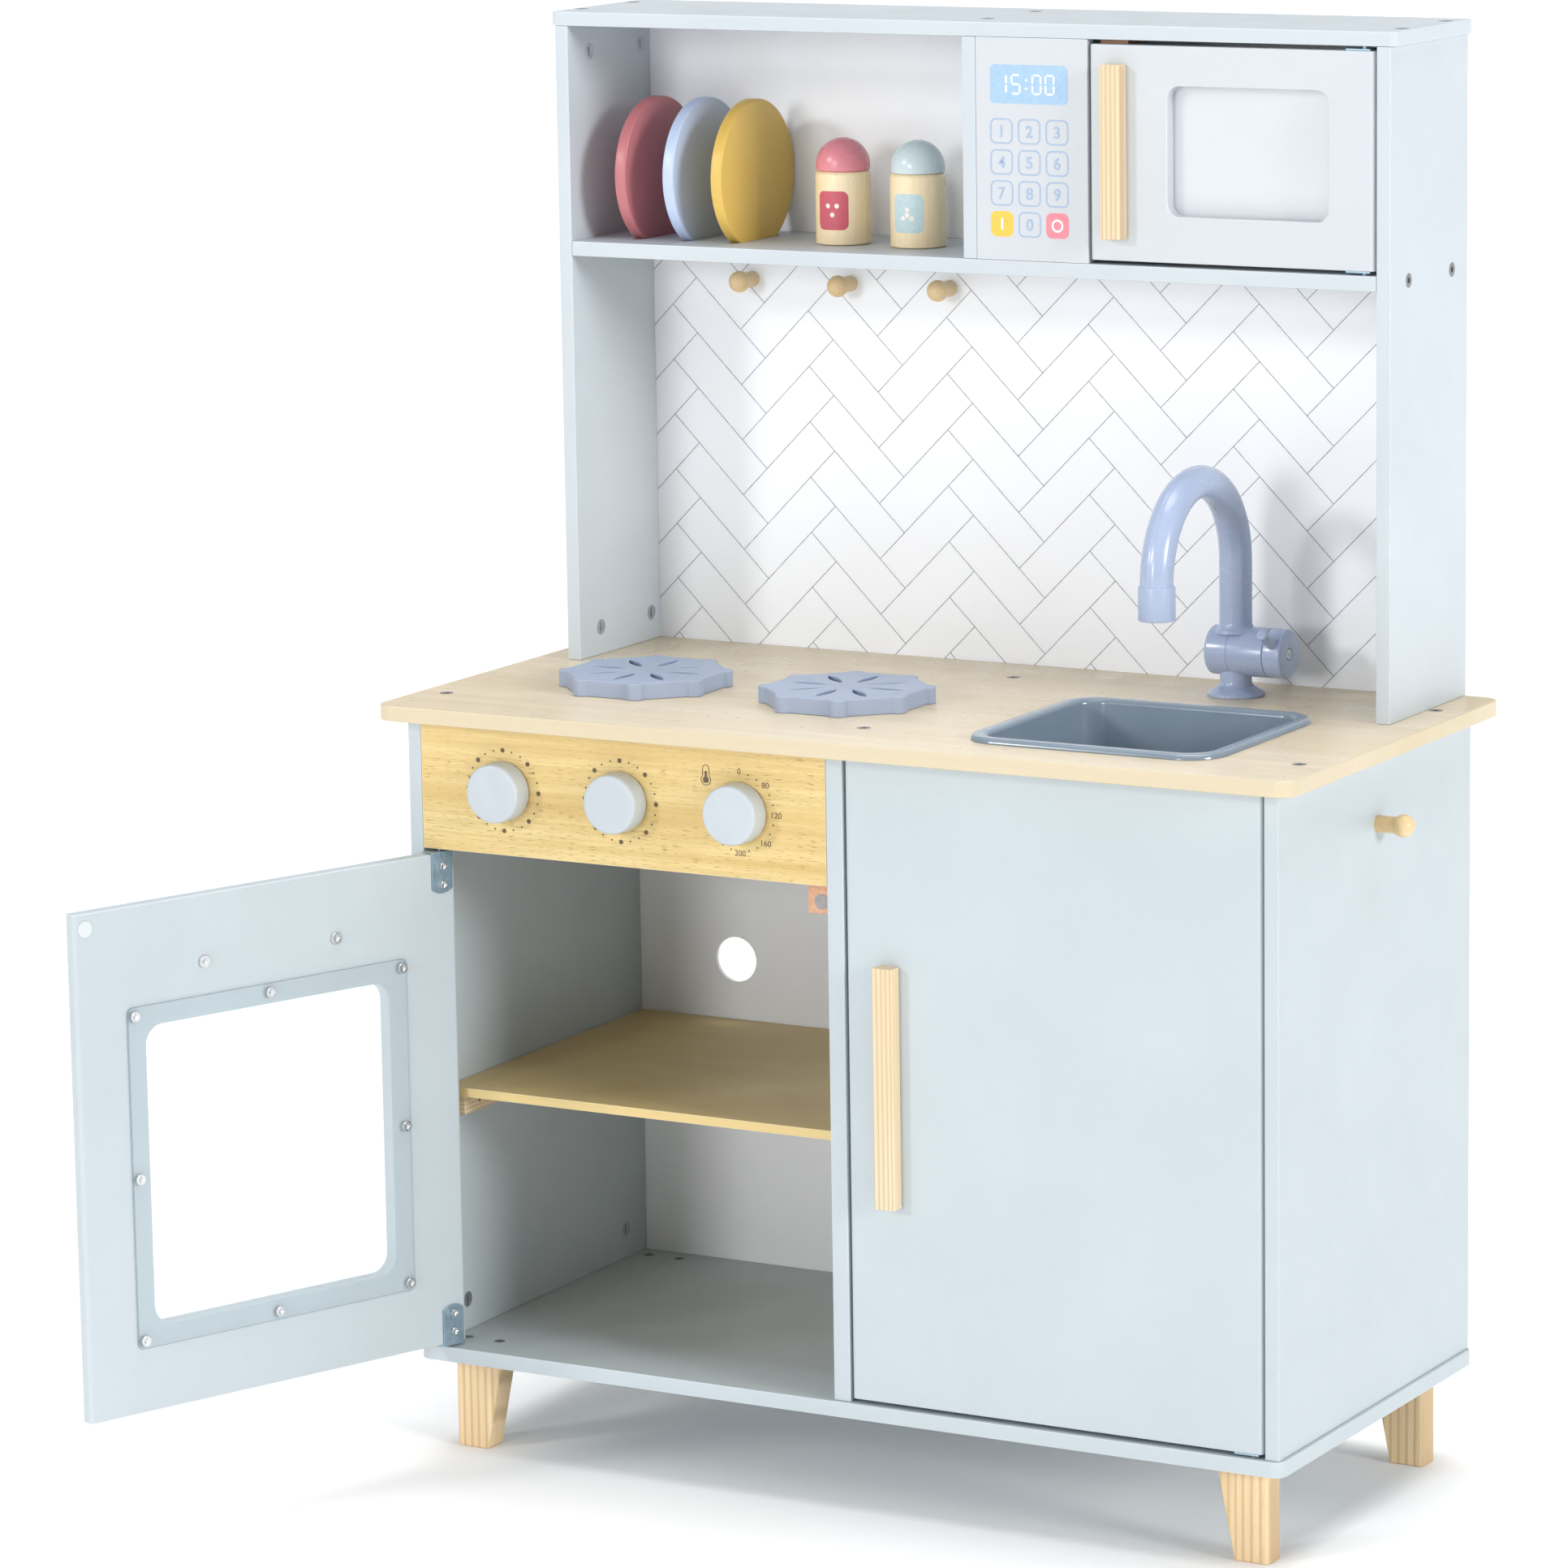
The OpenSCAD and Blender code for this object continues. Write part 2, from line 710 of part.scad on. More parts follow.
module microwave_door() {
    color(white) micro_place() difference() {
        door_slab(micro_x0, micro_x1, micro_z0, micro_z1);
        translate([micro_win_x, 0, micro_win_z])
            upright_rect(micro_win[0], micro_win[1], 8, -1, board_t + 1);
        translate([micro_win_x, board_t - 6, micro_win_z])
            ring_screws(micro_screws[0], micro_screws[1], false, false) cyl_y(screw_r, 8);
        hinge_screw_holes(micro_pin_x, micro_z0, micro_z1, 1);
        handle_screws(micro_handle_x, micro_handle_z, 70, false)
            translate([0, -board_t - 1, 0]) cyl_y(screw_r, board_t + 2);
        disc_recess(micro_disc[0], micro_disc[1]);
    }
}
module microwave_door_pane() {
    color(acrylic) micro_place() difference() {
        translate([micro_win_x, 0, micro_win_z])
            upright_rect(micro_pane[0], micro_pane[1], 4, board_t, board_t + pane_t);
        translate([micro_win_x, board_t - 1, micro_win_z])
            ring_screws(micro_screws[0], micro_screws[1], false, false) cyl_y(screw_r + 0.2, 5);
    }
}
module microwave_door_handle() {
    color(pine) micro_place() difference() {
        translate([micro_handle_x, 0, micro_handle_z]) stick(short_handle_l);
        handle_screws(micro_handle_x, micro_handle_z, 70, false)
            translate([0, -board_t - 6, 0]) cyl_y(screw_r, 8);
    }
}
module microwave_catch_disc() {
    color(white) micro_place() disc(micro_disc[0], micro_disc[1]);
}
module microwave_hinge_plates() {
    color(steel) micro_place()
        hinge_pair(micro_pin_x, micro_z0, micro_z1, 1, pivot_gap, hutch_z - micro_z1);
}
module microwave_door_screws() {
    color(steel) micro_place() {
        hinge_screws(micro_pin_x, micro_z0, micro_z1, 1);
        translate([micro_win_x, board_t + pane_t, micro_win_z])
            ring_screws(micro_screws[0], micro_screws[1], false, false) pan_screw(7);
        handle_screws(micro_handle_x, micro_handle_z, 70, false)
            pan_screw(board_t + 6, handle_screw_head_r);
    }
}

// ---- Knobs ----

module at_knobs() {
    for (i = [-1, 0, 1]) translate([knob_x + i * knob_pitch, front_y, knob_z]) children();
}

// A knob with a chamfered face, its spindle through the panel and a washer that keeps it there
module knob(i) {
    cut = 1.8;
    behind = board_t + 0.4;
    color([0.78, 0.84, 0.88]) translate([knob_x + i * knob_pitch, front_y, knob_z])
        rotate([90, 0, 0]) rotate_extrude($fn = 96) polygon([
            [0, knob_lift + knob_l], [knob_r - cut, knob_lift + knob_l],
            [knob_r, knob_lift + knob_l - cut], [knob_r, knob_lift + 0.8],
            [knob_r - 0.8, knob_lift], [spindle_r, knob_lift], [spindle_r, -behind],
            [8, -behind], [8, -behind - 2], [0, -behind - 2]]);
}
module knob_left() { knob(-1); }
module knob_middle() { knob(0); }
module knob_right() { knob(1); }

// ---- Burners, sink and tap ----

burner_h = 10.5;
burner_x = [-193, -48];
burner_y = -27;
bump_r = 6;

module at_burners() {
    for (x = burner_x) translate([x, burner_y, worktop_z]) children();
}

// An eight-sided plate with a round bump at each corner and eight petal-shaped slots
module burner() {
    flat_r = burner_dia / 2 - 2.5;
    bump_at = burner_dia / 2 - bump_r;
    difference() {
        union() {
            rotate(22.5) cylinder(r = flat_r, h = burner_h, $fn = 8);
            for (i = [0:7]) rotate(i * 45 + 22.5) translate([bump_at, 0, 0])
                cylinder(r = bump_r, h = burner_h, $fn = 32);
        }
        for (i = [0:7]) rotate(i * 45) translate([27, 0, 3]) petal(burner_h);
        translate([0, 0, -1]) cylinder(r = 1.5, h = 6, $fn = 24);
    }
}

// A pointed leaf: where two discs cross
module petal(h) {
    half_l = 14;
    half_w = 3;
    r = (half_l * half_l + half_w * half_w) / (2 * half_w);
    intersection() {
        translate([0, r - half_w, 0]) cylinder(r = r, h = h, $fn = 96);
        translate([0, half_w - r, 0]) cylinder(r = r, h = h, $fn = 96);
    }
}

module burners() { color(greyblue) at_burners() burner(); }
// Screws from under the worktop: one up into each burner and a thicker one into the tap's foot
module underside_screws() {
    color(steel) {
        at_burners() under_screw(screw_r);
        translate([tap_x, tap_y, worktop_z]) under_screw(2);
    }
}
module under_screw(r) {
    translate([0, 0, -worktop_t - screw_head_h])
        cylinder(r = 2 * r, h = screw_head_h, $fn = 32);
    translate([0, 0, -worktop_t]) cylinder(r = r, h = worktop_t + 4.5, $fn = 32);
}

module sink_basin() {
    floor_t = 2.5;
    lip = 2.4;
    color(greyblue) translate([sink_x, sink_y, worktop_z]) difference() {
        union() {
            linear_extrude(rim_h - 1.2) rounded_rect(sink_w, sink_d, 24);
            linear_extrude(rim_h) rounded_rect(sink_w - 2 * lip, sink_d - 2 * lip, 22);
            translate([0, 0, -bowl_depth]) linear_extrude(bowl_depth + 1)
                rounded_rect(bowl_w + 2 * sink_wall, bowl_d + 2 * sink_wall, 17.7);
        }
        translate([0, 0, floor_t - bowl_depth]) linear_extrude(bowl_depth + 10)
            rounded_rect(bowl_w, bowl_d, 15.5);
        translate([0, 0, floor_t - bowl_depth - 0.8]) cylinder(r = 11, h = 5, $fn = 48);
    }
}

// The tap's form; shrink makes the same form that much thinner, for the hollow inside
module tap_form(shrink) {
    r = tube_dia / 2 - shrink;
    inner = shrink > 0;
    top_of_neck = body_z;
    translate([0, 0, inner ? worktop_z + 6 : worktop_z]) {
        if (!inner) rotate_extrude($fn = 64) polygon([
            [0, 0], [18, 0], [18, 1.5], [11, 6.5], [10, 10], [10, body_z - worktop_z],
            [0, body_z - worktop_z]]);
        if (inner) cylinder(r = 10 - shrink, h = body_z - worktop_z - 6, $fn = 64);
    }
    translate([body_x0 - tap_x + shrink, 0, body_z])
        cyl_x(body_r - shrink, body_x1 - body_x0 + (inner ? 1 : 0));
    translate([0, 0, body_z]) cylinder(r = r, h = arch_z - body_z, $fn = 64);
    translate([0, -spout_reach / 2, arch_z]) rotate([90, 0, 90])
        rotate_extrude(angle = 180, $fn = 96) translate([spout_reach / 2, 0])
            circle(r = r, $fn = 64);
    low = inner ? spout_z - 1 : spout_z;
    translate([0, -spout_reach, low]) cylinder(r = r, h = arch_z - low, $fn = 64);
    if (!inner) translate([0, -spout_reach, spout_z])
        cylinder(r = r + collar_grow, h = collar_h, $fn = 64);
}

// Half of the hollow tap, split on the plane through spout and riser: s is -1 left, 1 right
module tap_shell(s) {
    color(greyblue) translate([tap_x, tap_y, 0]) intersection() {
        difference() {
            tap_form(0);
            tap_form(tap_wall);
            translate([0, 0, worktop_z - 1]) cylinder(r = 2.05, h = 8, $fn = 32);
        }
        translate([s > 0 ? 0 : -60, -160, 0]) cube([60, 220, 1000]);
    }
}
module tap_left_shell() { tap_shell(-1); }
module tap_right_shell() { tap_shell(1); }

module tap_cap() {
    spigot_l = 8;
    color(greyblue) translate([body_x1, tap_y, body_z]) difference() {
        union() {
            translate([cap_gap, 0, 0]) rotate([0, 90, 0]) rotate_extrude($fn = 96) polygon([
                [0, 0], [body_r, 0], [body_r, cap_l - 1.5], [body_r - 1.5, cap_l], [0, cap_l]]);
            translate([-spigot_l, 0, 0])
                cyl_x(body_r - tap_wall - 0.05, spigot_l + cap_gap + 1);
        }
        translate([-spigot_l - 1, 0, 0]) cyl_x(2, 40);
        translate([cap_l + cap_gap - 2.4, 0, 0]) cyl_x(3.4, 5);
        rotate([-lever_tilt, 0, 0]) translate([cap_l / 2 + cap_gap, -body_r - 5, 0])
            cyl_y(lever_r - 0.5, 10);
    }
}
module tap_lever() {
    lever_l = 17;
    color(greyblue) translate([body_x1 + cap_l / 2 + cap_gap, tap_y, body_z])
        rotate([-lever_tilt, 0, 0]) rotate([90, 0, 0]) {
            translate([0, 0, body_r - 5]) cylinder(r = lever_r - 0.55, h = 6, $fn = 48);
            translate([0, 0, body_r + 0.45]) rotate_extrude($fn = 48) polygon([
                [0, 0], [lever_r, 0], [lever_r, lever_l - 1.5], [lever_r - 1.5, lever_l],
                [0, lever_l]]);
        }
}
module tap_cap_screw() {
    color(steel) translate([body_x1 + cap_gap + cap_l - 2.2, tap_y, body_z]) difference() {
        union() {
            cyl_x(3.1, 1.8);
            translate([-16, 0, 0]) cyl_x(1.8, 16.5);
        }
        for (a = [0, 90]) rotate([a, 0, 0]) translate([1, -2, -0.4]) cube([2, 4, 0.8]);
    }
}

// ---- Hutch ----

module hutch_side(s) {
    color(white) difference() {
        translate([s * (hutch_in_x + board_t / 2), hutch_y + hutch_d / 2, worktop_z + hutch_h / 2])
            cube([board_t, hutch_d, hutch_h], center = true);
        box([-hutch_in_x - 4, hutch_back_y, worktop_z - 1],
            [hutch_in_x + 4, hutch_back_y + back_t, hutch_z + 1]);
        at_hutch_nuts() nut_pocket();
        at_top_bolts() bolt_hole();
        at_hutch_base_bolts() bolt_hole();
        at_shelf_bolts() bolt_hole();
    }
}
module hutch_left_panel() { hutch_side(-1); }
module hutch_right_panel() { hutch_side(1); }

module hutch_top() {
    color(white) difference() {
        translate([0, hutch_y + hutch_d / 2, hutch_z]) linear_extrude(hutch_top_t)
            rounded_rect(hutch_top_w, hutch_d, 5);
        at_top_bolts() bolt_hole();
        translate([micro_pin_x, hutch_y + pin_y, hutch_z - 1])
            cylinder(r = pin_hole_r, h = 8, $fn = 32);
    }
}

module hutch_shelf() {
    color(white) difference() {
        box([-hutch_in_x, hutch_y, shelf_z - shelf_t], [hutch_in_x, wall_y - 2, shelf_z]);
        at_shelf_bolts() bolt_hole();
        translate([micro_pin_x, hutch_y + pin_y, shelf_z - 7])
            cylinder(r = pin_hole_r, h = 8, $fn = 32);
        at_plates() translate([0, 0, shelf_z - groove_depth]) linear_extrude(20)
            rounded_rect(plate_t + 2 * groove_play, groove_l, plate_t / 2);
    }
}

module hutch_divider() {
    color(white) difference() {
        box([hutch_div_x - board_t / 2, hutch_y, shelf_z], [key_x0, hutch_back_y, hutch_z]);
        at_divider_nuts() nut_pocket();
        at_top_bolts() bolt_hole();
    }
}

module microwave_key_panel() {
    color(white) box([key_x0, hutch_y, shelf_z], [key_x1, hutch_y + board_t, hutch_z]);
}

// A back board between two levels
module hutch_back(z0, z1) {
    box([-hutch_in_x - 4, hutch_back_y, z0], [hutch_in_x + 4, hutch_back_y + back_t, z1]);
}
module upper_back_panel() { color(white) hutch_back(shelf_z, hutch_z); }
module tiled_back_panel() {
    color(white) difference() {
        hutch_back(worktop_z, shelf_z - shelf_t);
        at_back_pegs() rotate([90, 0, 0]) translate([0, 0, -10])
            cylinder(r = peg_tenon_r, h = 20, $fn = 32);
    }
}

// ---- Pegs and tableware ----

// A peg along +Z: tenon, stem and ball
module peg(tenon) {
    ball_z = peg_l - peg_ball_r;
    meet = sqrt(peg_ball_r * peg_ball_r - peg_stem_r * peg_stem_r);
    cylinder(r = peg_stem_r, h = ball_z - meet + 0.5, $fn = 48);
    translate([0, 0, -tenon]) cylinder(r = peg_tenon_r - 0.05, h = tenon + 1, $fn = 32);
    translate([0, 0, ball_z]) sphere(r = peg_ball_r, $fn = 64);
}
module at_back_pegs() {
    for (i = [-1, 0, 1]) translate([peg_x + i * peg_pitch, hutch_back_y, peg_z]) children();
}
module hanging_pegs() {
    color(pine) {
        at_back_pegs() rotate([90, 0, 0]) peg(back_t);
        translate([cab_w / 2, 0, side_peg_z]) rotate([0, 90, 0]) peg(board_t);
    }
}

module at_plates() {
    for (i = [-1, 0, 1]) translate([plate_x + i * plate_pitch, plate_y, 0]) children();
}
// A wooden plate standing on its edge in a groove, with eased rims
module plate(i) {
    ease = 1.4;
    r = plate_dia / 2;
    translate([plate_x + i * plate_pitch - plate_t / 2, plate_y,
        shelf_z - groove_depth + rest_gap + r]) rotate([0, 90, 0])
        rotate_extrude($fn = 128) polygon([
            [0, 0], [r - ease, 0], [r, ease], [r, plate_t - ease], [r - ease, plate_t],
            [0, plate_t]]);
}
module plate_red() { color([0.75, 0.36, 0.4]) plate(-1); }
module plate_blue() { color([0.62, 0.72, 0.87]) plate(0); }
module plate_yellow() { color([0.85, 0.68, 0.3]) plate(1); }

// A shaker's turned wooden body, with a spigot that the cap is glued on
module shaker_body(i) {
    r = shaker_dia / 2;
    h = shaker_body_h;
    color(beech) translate([shaker_x[i], shaker_y, shelf_z + rest_gap])
        rotate_extrude($fn = 96) polygon([
            [0, 0], [r - 1, 0], [r, 1], [r, h - 4], [r - 0.8, h - 1.6], [r - 2.2, h],
            [shaker_spigot_r, h], [shaker_spigot_r, h + 7], [0, h + 7]]);
}
// A shaker's domed cap, with the socket for that spigot
module shaker_cap(i, tint) {
    r = shaker_dia / 2 - 0.5;
    straight = 3.2;
    color(tint) translate([shaker_x[i], shaker_y, shelf_z + rest_gap + shaker_body_h])
        difference() {
            union() {
                cylinder(r = r, h = straight, $fn = 96);
                intersection() {
                    translate([0, 0, straight]) sphere(r = r, $fn = 96);
                    translate([-r, -r, 1]) cube([2 * r, 2 * r, 2 * r + straight]);
                }
            }
            translate([0, 0, -1]) cylinder(r = shaker_spigot_r + 0.05, h = 9, $fn = 48);
        }
}
module shaker_red_body() { shaker_body(0); }
module shaker_red_cap() { shaker_cap(0, [0.78, 0.37, 0.42]); }
module shaker_mint_body() { shaker_body(1); }
module shaker_mint_cap() { shaker_cap(1, [0.66, 0.77, 0.78]); }

bottom_panel();
left_side_panel();
right_side_panel();
divider_panel();
worktop();
control_panel();
lower_back_panel();
oven_shelf();
shelf_battens();
catch_blocks();
catch_magnets();
feet();
foot_screws();
panel_bolts();
barrel_nuts();
oven_door();
oven_door_pane();
oven_door_handle();
oven_catch_disc();
oven_hinge_plates();
oven_door_screws();
cabinet_door();
cabinet_door_handle();
cabinet_catch_disc();
cabinet_hinge_plates();
cabinet_door_screws();
microwave_door();
microwave_door_pane();
microwave_door_handle();
microwave_catch_disc();
microwave_hinge_plates();
microwave_door_screws();
knob_left();
knob_middle();
knob_right();
burners();
underside_screws();
sink_basin();
tap_left_shell();
tap_right_shell();
tap_cap();
tap_lever();
tap_cap_screw();
hutch_left_panel();
hutch_right_panel();
hutch_top();
hutch_shelf();
hutch_divider();
microwave_key_panel();
upper_back_panel();
tiled_back_panel();
hanging_pegs();
plate_red();
plate_blue();
plate_yellow();
shaker_red_body();
shaker_red_cap();
shaker_mint_body();
shaker_mint_cap();
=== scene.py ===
"""The looks of the toy kitchen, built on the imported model. Lengths are in metres."""
import json
import math

import bmesh
import bpy
from mathutils import Matrix, Vector

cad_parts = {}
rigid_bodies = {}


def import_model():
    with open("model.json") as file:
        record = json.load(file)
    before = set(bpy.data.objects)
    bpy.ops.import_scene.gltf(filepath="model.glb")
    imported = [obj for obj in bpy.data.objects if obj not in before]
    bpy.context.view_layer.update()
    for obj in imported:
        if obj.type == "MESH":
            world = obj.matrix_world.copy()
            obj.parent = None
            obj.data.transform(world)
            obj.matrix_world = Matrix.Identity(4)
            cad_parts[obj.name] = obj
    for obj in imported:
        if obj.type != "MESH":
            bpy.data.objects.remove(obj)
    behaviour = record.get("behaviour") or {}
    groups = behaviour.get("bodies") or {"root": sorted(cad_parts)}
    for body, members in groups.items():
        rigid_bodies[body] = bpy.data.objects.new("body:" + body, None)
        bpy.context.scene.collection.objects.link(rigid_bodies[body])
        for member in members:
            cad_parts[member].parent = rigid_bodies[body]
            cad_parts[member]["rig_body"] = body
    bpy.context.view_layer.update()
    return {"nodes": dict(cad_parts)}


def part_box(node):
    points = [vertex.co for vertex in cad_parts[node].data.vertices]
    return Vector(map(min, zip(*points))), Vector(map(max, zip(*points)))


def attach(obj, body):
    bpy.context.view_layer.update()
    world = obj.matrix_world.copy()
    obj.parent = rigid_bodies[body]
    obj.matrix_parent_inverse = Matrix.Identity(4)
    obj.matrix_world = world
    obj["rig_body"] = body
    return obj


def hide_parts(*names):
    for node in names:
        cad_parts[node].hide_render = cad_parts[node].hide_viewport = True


MM = 0.001
ROOT = "kitchen_frame"

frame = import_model()
scene = bpy.context.scene
scene.view_settings.view_transform = "Standard"
scene.view_settings.look = "None"


# ---- Camera, light and floor ----

# The camera's place, its turn left, tilt up and lean in degrees, and its lens in mm
CAMERA_PLACE = (1.8944, -3.5441, 1.1917)
CAMERA_TURN = (29.481, -10.694, -0.895)
CAMERA_LENS = 150.7


def aim_camera():
    yaw, pitch, roll = (math.radians(a) for a in CAMERA_TURN)
    forward = Vector((-math.sin(yaw) * math.cos(pitch), math.cos(yaw) * math.cos(pitch), math.sin(pitch)))
    level = Vector((math.cos(yaw), math.sin(yaw), 0))
    upward = level.cross(forward)
    right = level * math.cos(roll) + upward * math.sin(roll)
    up = upward * math.cos(roll) - level * math.sin(roll)
    turn = Matrix((right, up, -forward)).transposed().to_4x4()
    data = bpy.data.cameras.new("camera")
    data.lens, data.sensor_width, data.clip_end = CAMERA_LENS, 36, 200
    camera = bpy.data.objects.new("camera", data)
    camera.matrix_world = Matrix.Translation(CAMERA_PLACE) @ turn
    scene.collection.objects.link(camera)
    scene.camera = camera


def add_sun(name, azimuth, elevation, strength, softness):
    """A soft sun. Azimuth 0 shines from the front, and positive angles from the right."""
    data = bpy.data.lights.new(name, "SUN")
    data.energy, data.angle = strength, math.radians(softness)
    a, e = math.radians(azimuth), math.radians(elevation)
    source = Vector((math.sin(a) * math.cos(e), -math.cos(a) * math.cos(e), math.sin(e)))
    light = bpy.data.objects.new(name, data)
    light.rotation_euler = source.to_track_quat("Z", "Y").to_euler()
    scene.collection.objects.link(light)


def light_studio():
    world = bpy.data.worlds.new("studio")
    scene.world = world
    world.use_nodes = True
    back = world.node_tree.nodes["Background"]
    back.inputs["Color"].default_value = (0.97, 0.985, 1, 1)
    back.inputs["Strength"].default_value = 0.37
    add_sun("front_softbox", -8, 9, 0.78, 14)
    add_sun("left_softbox", -35, 20, 0.8, 9)
    add_sun("right_softbox", 78, 15, 1.62, 16)
    add_sun("top_softbox", 180, 82, 2.5, 50)


def lay_floor():
    """A pale floor that runs past the horizon of every view."""
    mesh = bpy.data.meshes.new("floor")
    reach = 60
    corners = [(-reach, -reach, 0), (reach, -reach, 0), (reach, reach, 0), (-reach, reach, 0)]
    mesh.from_pydata(corners, [], [(0, 1, 2, 3)])
    floor = bpy.data.objects.new("floor", mesh)
    scene.collection.objects.link(floor)
    mat = bpy.data.materials.new("floor")
    mat.use_nodes = True
    shader = mat.node_tree.nodes["Principled BSDF"]
    shader.inputs["Base Color"].default_value = (0.98, 0.98, 0.98, 1)
    shader.inputs["Roughness"].default_value = 0.8
    mesh.materials.append(mat)


# ---- Materials ----

class Nodes:
    """A small helper that adds shader nodes and links them."""

    def __init__(self, name):
        self.mat = bpy.data.materials.new(name)
        self.mat.use_nodes = True
        self.tree = self.mat.node_tree
        self.shader = self.tree.nodes["Principled BSDF"]
        self.place = self.add("ShaderNodeTexCoord").outputs["Object"]

    def add(self, kind, **values):
        node = self.tree.nodes.new(kind)
        for key, value in values.items():
            setattr(node, key, value)
        return node

    def link(self, out, socket):
        self.tree.links.new(out, socket)

    def math(self, operation, a, b=None):
        node = self.add("ShaderNodeMath", operation=operation)
        for socket, value in zip(node.inputs, (a, b)):
            if value is None:
                continue
            if isinstance(value, (int, float)):
                socket.default_value = value
            else:
                self.link(value, socket)
        return node.outputs[0]

    def stretch(self, scale, turn=(0, 0, 0)):
        """The piece's own coordinates, scaled and turned."""
        node = self.add("ShaderNodeMapping")
        node.inputs["Scale"].default_value = scale
        node.inputs["Rotation"].default_value = turn
        self.link(self.place, node.inputs["Vector"])
        return node.outputs["Vector"]

    def noise(self, vector, scale=1.0, detail=3.0, rough=0.5, bend=0.0):
        node = self.add("ShaderNodeTexNoise")
        node.inputs["Scale"].default_value = scale
        node.inputs["Detail"].default_value = detail
        node.inputs["Roughness"].default_value = rough
        node.inputs["Distortion"].default_value = bend
        self.link(vector, node.inputs["Vector"])
        return node.outputs["Fac"]

    def ramp(self, value, stops):
        node = self.add("ShaderNodeValToRGB")
        bar = node.color_ramp
        while len(bar.elements) < len(stops):
            bar.elements.new(0.5)
        for element, (at, colour) in zip(bar.elements, stops):
            element.position = at
            element.color = (*colour, 1)
        self.link(value, node.inputs["Fac"])
        return node.outputs["Color"]

    def span(self, value, low, high, to_low=0.0, to_high=1.0):
        """Maps low to high onto the second pair of numbers, and keeps within them."""
        node = self.add("ShaderNodeMapRange")
        for socket, number in zip(node.inputs[1:5], (low, high, to_low, to_high)):
            socket.default_value = number
        self.link(value, node.inputs[0])
        return node.outputs[0]

    def mix(self, factor, base, over):
        """Lays the colour over, a plain one or another node's, on the base by the factor."""
        node = self.add("ShaderNodeMix", data_type="RGBA")
        self.link(factor, node.inputs[0])
        self.link(base, node.inputs[6])
        if isinstance(over, tuple):
            node.inputs[7].default_value = (*over, 1)
        else:
            self.link(over, node.inputs[7])
        return node.outputs[2]

    def bump(self, height, distance, strength=1.0):
        node = self.add("ShaderNodeBump")
        node.inputs["Distance"].default_value = distance
        node.inputs["Strength"].default_value = strength
        self.link(height, node.inputs["Height"])
        self.link(node.outputs["Normal"], self.shader.inputs["Normal"])

    def finish(self, colour, rough, **fixed):
        """Links colour and roughness, sets the fixed numbers and gives back the material."""
        self.link(colour, self.shader.inputs["Base Color"])
        if isinstance(rough, float):
            self.shader.inputs["Roughness"].default_value = rough
        else:
            self.link(rough, self.shader.inputs["Roughness"])
        for key, value in fixed.items():
            self.shader.inputs[key.replace("_", " ")].default_value = value
        return self.mat


def srgb(r, g, b):
    """Linear colour from the usual 0 to 255 numbers."""
    return tuple(((v / 255 + 0.055) / 1.055) ** 2.4 if v > 10 else v / 3294.6 for v in (r, g, b))


def shade(colour, factor):
    """The colour made lighter or darker."""
    return tuple(min(1, c * factor) for c in colour)


def painted(name, colour, worn=0.0, rough=0.42):
    """Sprayed paint on board: a faint mottle, orange peel and, on edges, rubbed spots."""
    n = Nodes(name)
    mottle = n.noise(n.stretch((1, 1, 1)), 9, 4, 0.6)
    fine = n.noise(n.stretch((1, 1, 1)), 260, 3, 0.6)
    base = n.ramp(mottle, [(0.3, shade(colour, 0.965)), (0.7, shade(colour, 1.02))])
    base = n.mix(n.span(fine, 0.35, 0.75, 0, 0.06), base, shade(colour, 0.86))
    if worn:
        rub = n.noise(n.stretch((1, 1, 1)), 55, 5, 0.65)
        base = n.mix(n.span(rub, 0.56, 0.72, 0, worn), base, shade(colour, 1.18))
        chip = n.noise(n.stretch((1, 1, 1)), 170, 3, 0.5)
        base = n.mix(n.span(chip, 0.735, 0.76, 0, 0.6), base, srgb(205, 188, 160))
    gloss = n.span(n.noise(n.stretch((1, 1, 1)), 34, 4, 0.6), 0.3, 0.7, rough - 0.05, rough + 0.07)
    n.bump(n.noise(n.stretch((1, 1, 1)), 520, 2, 0.5), 0.00012, 0.5)
    return n.finish(base, gloss)


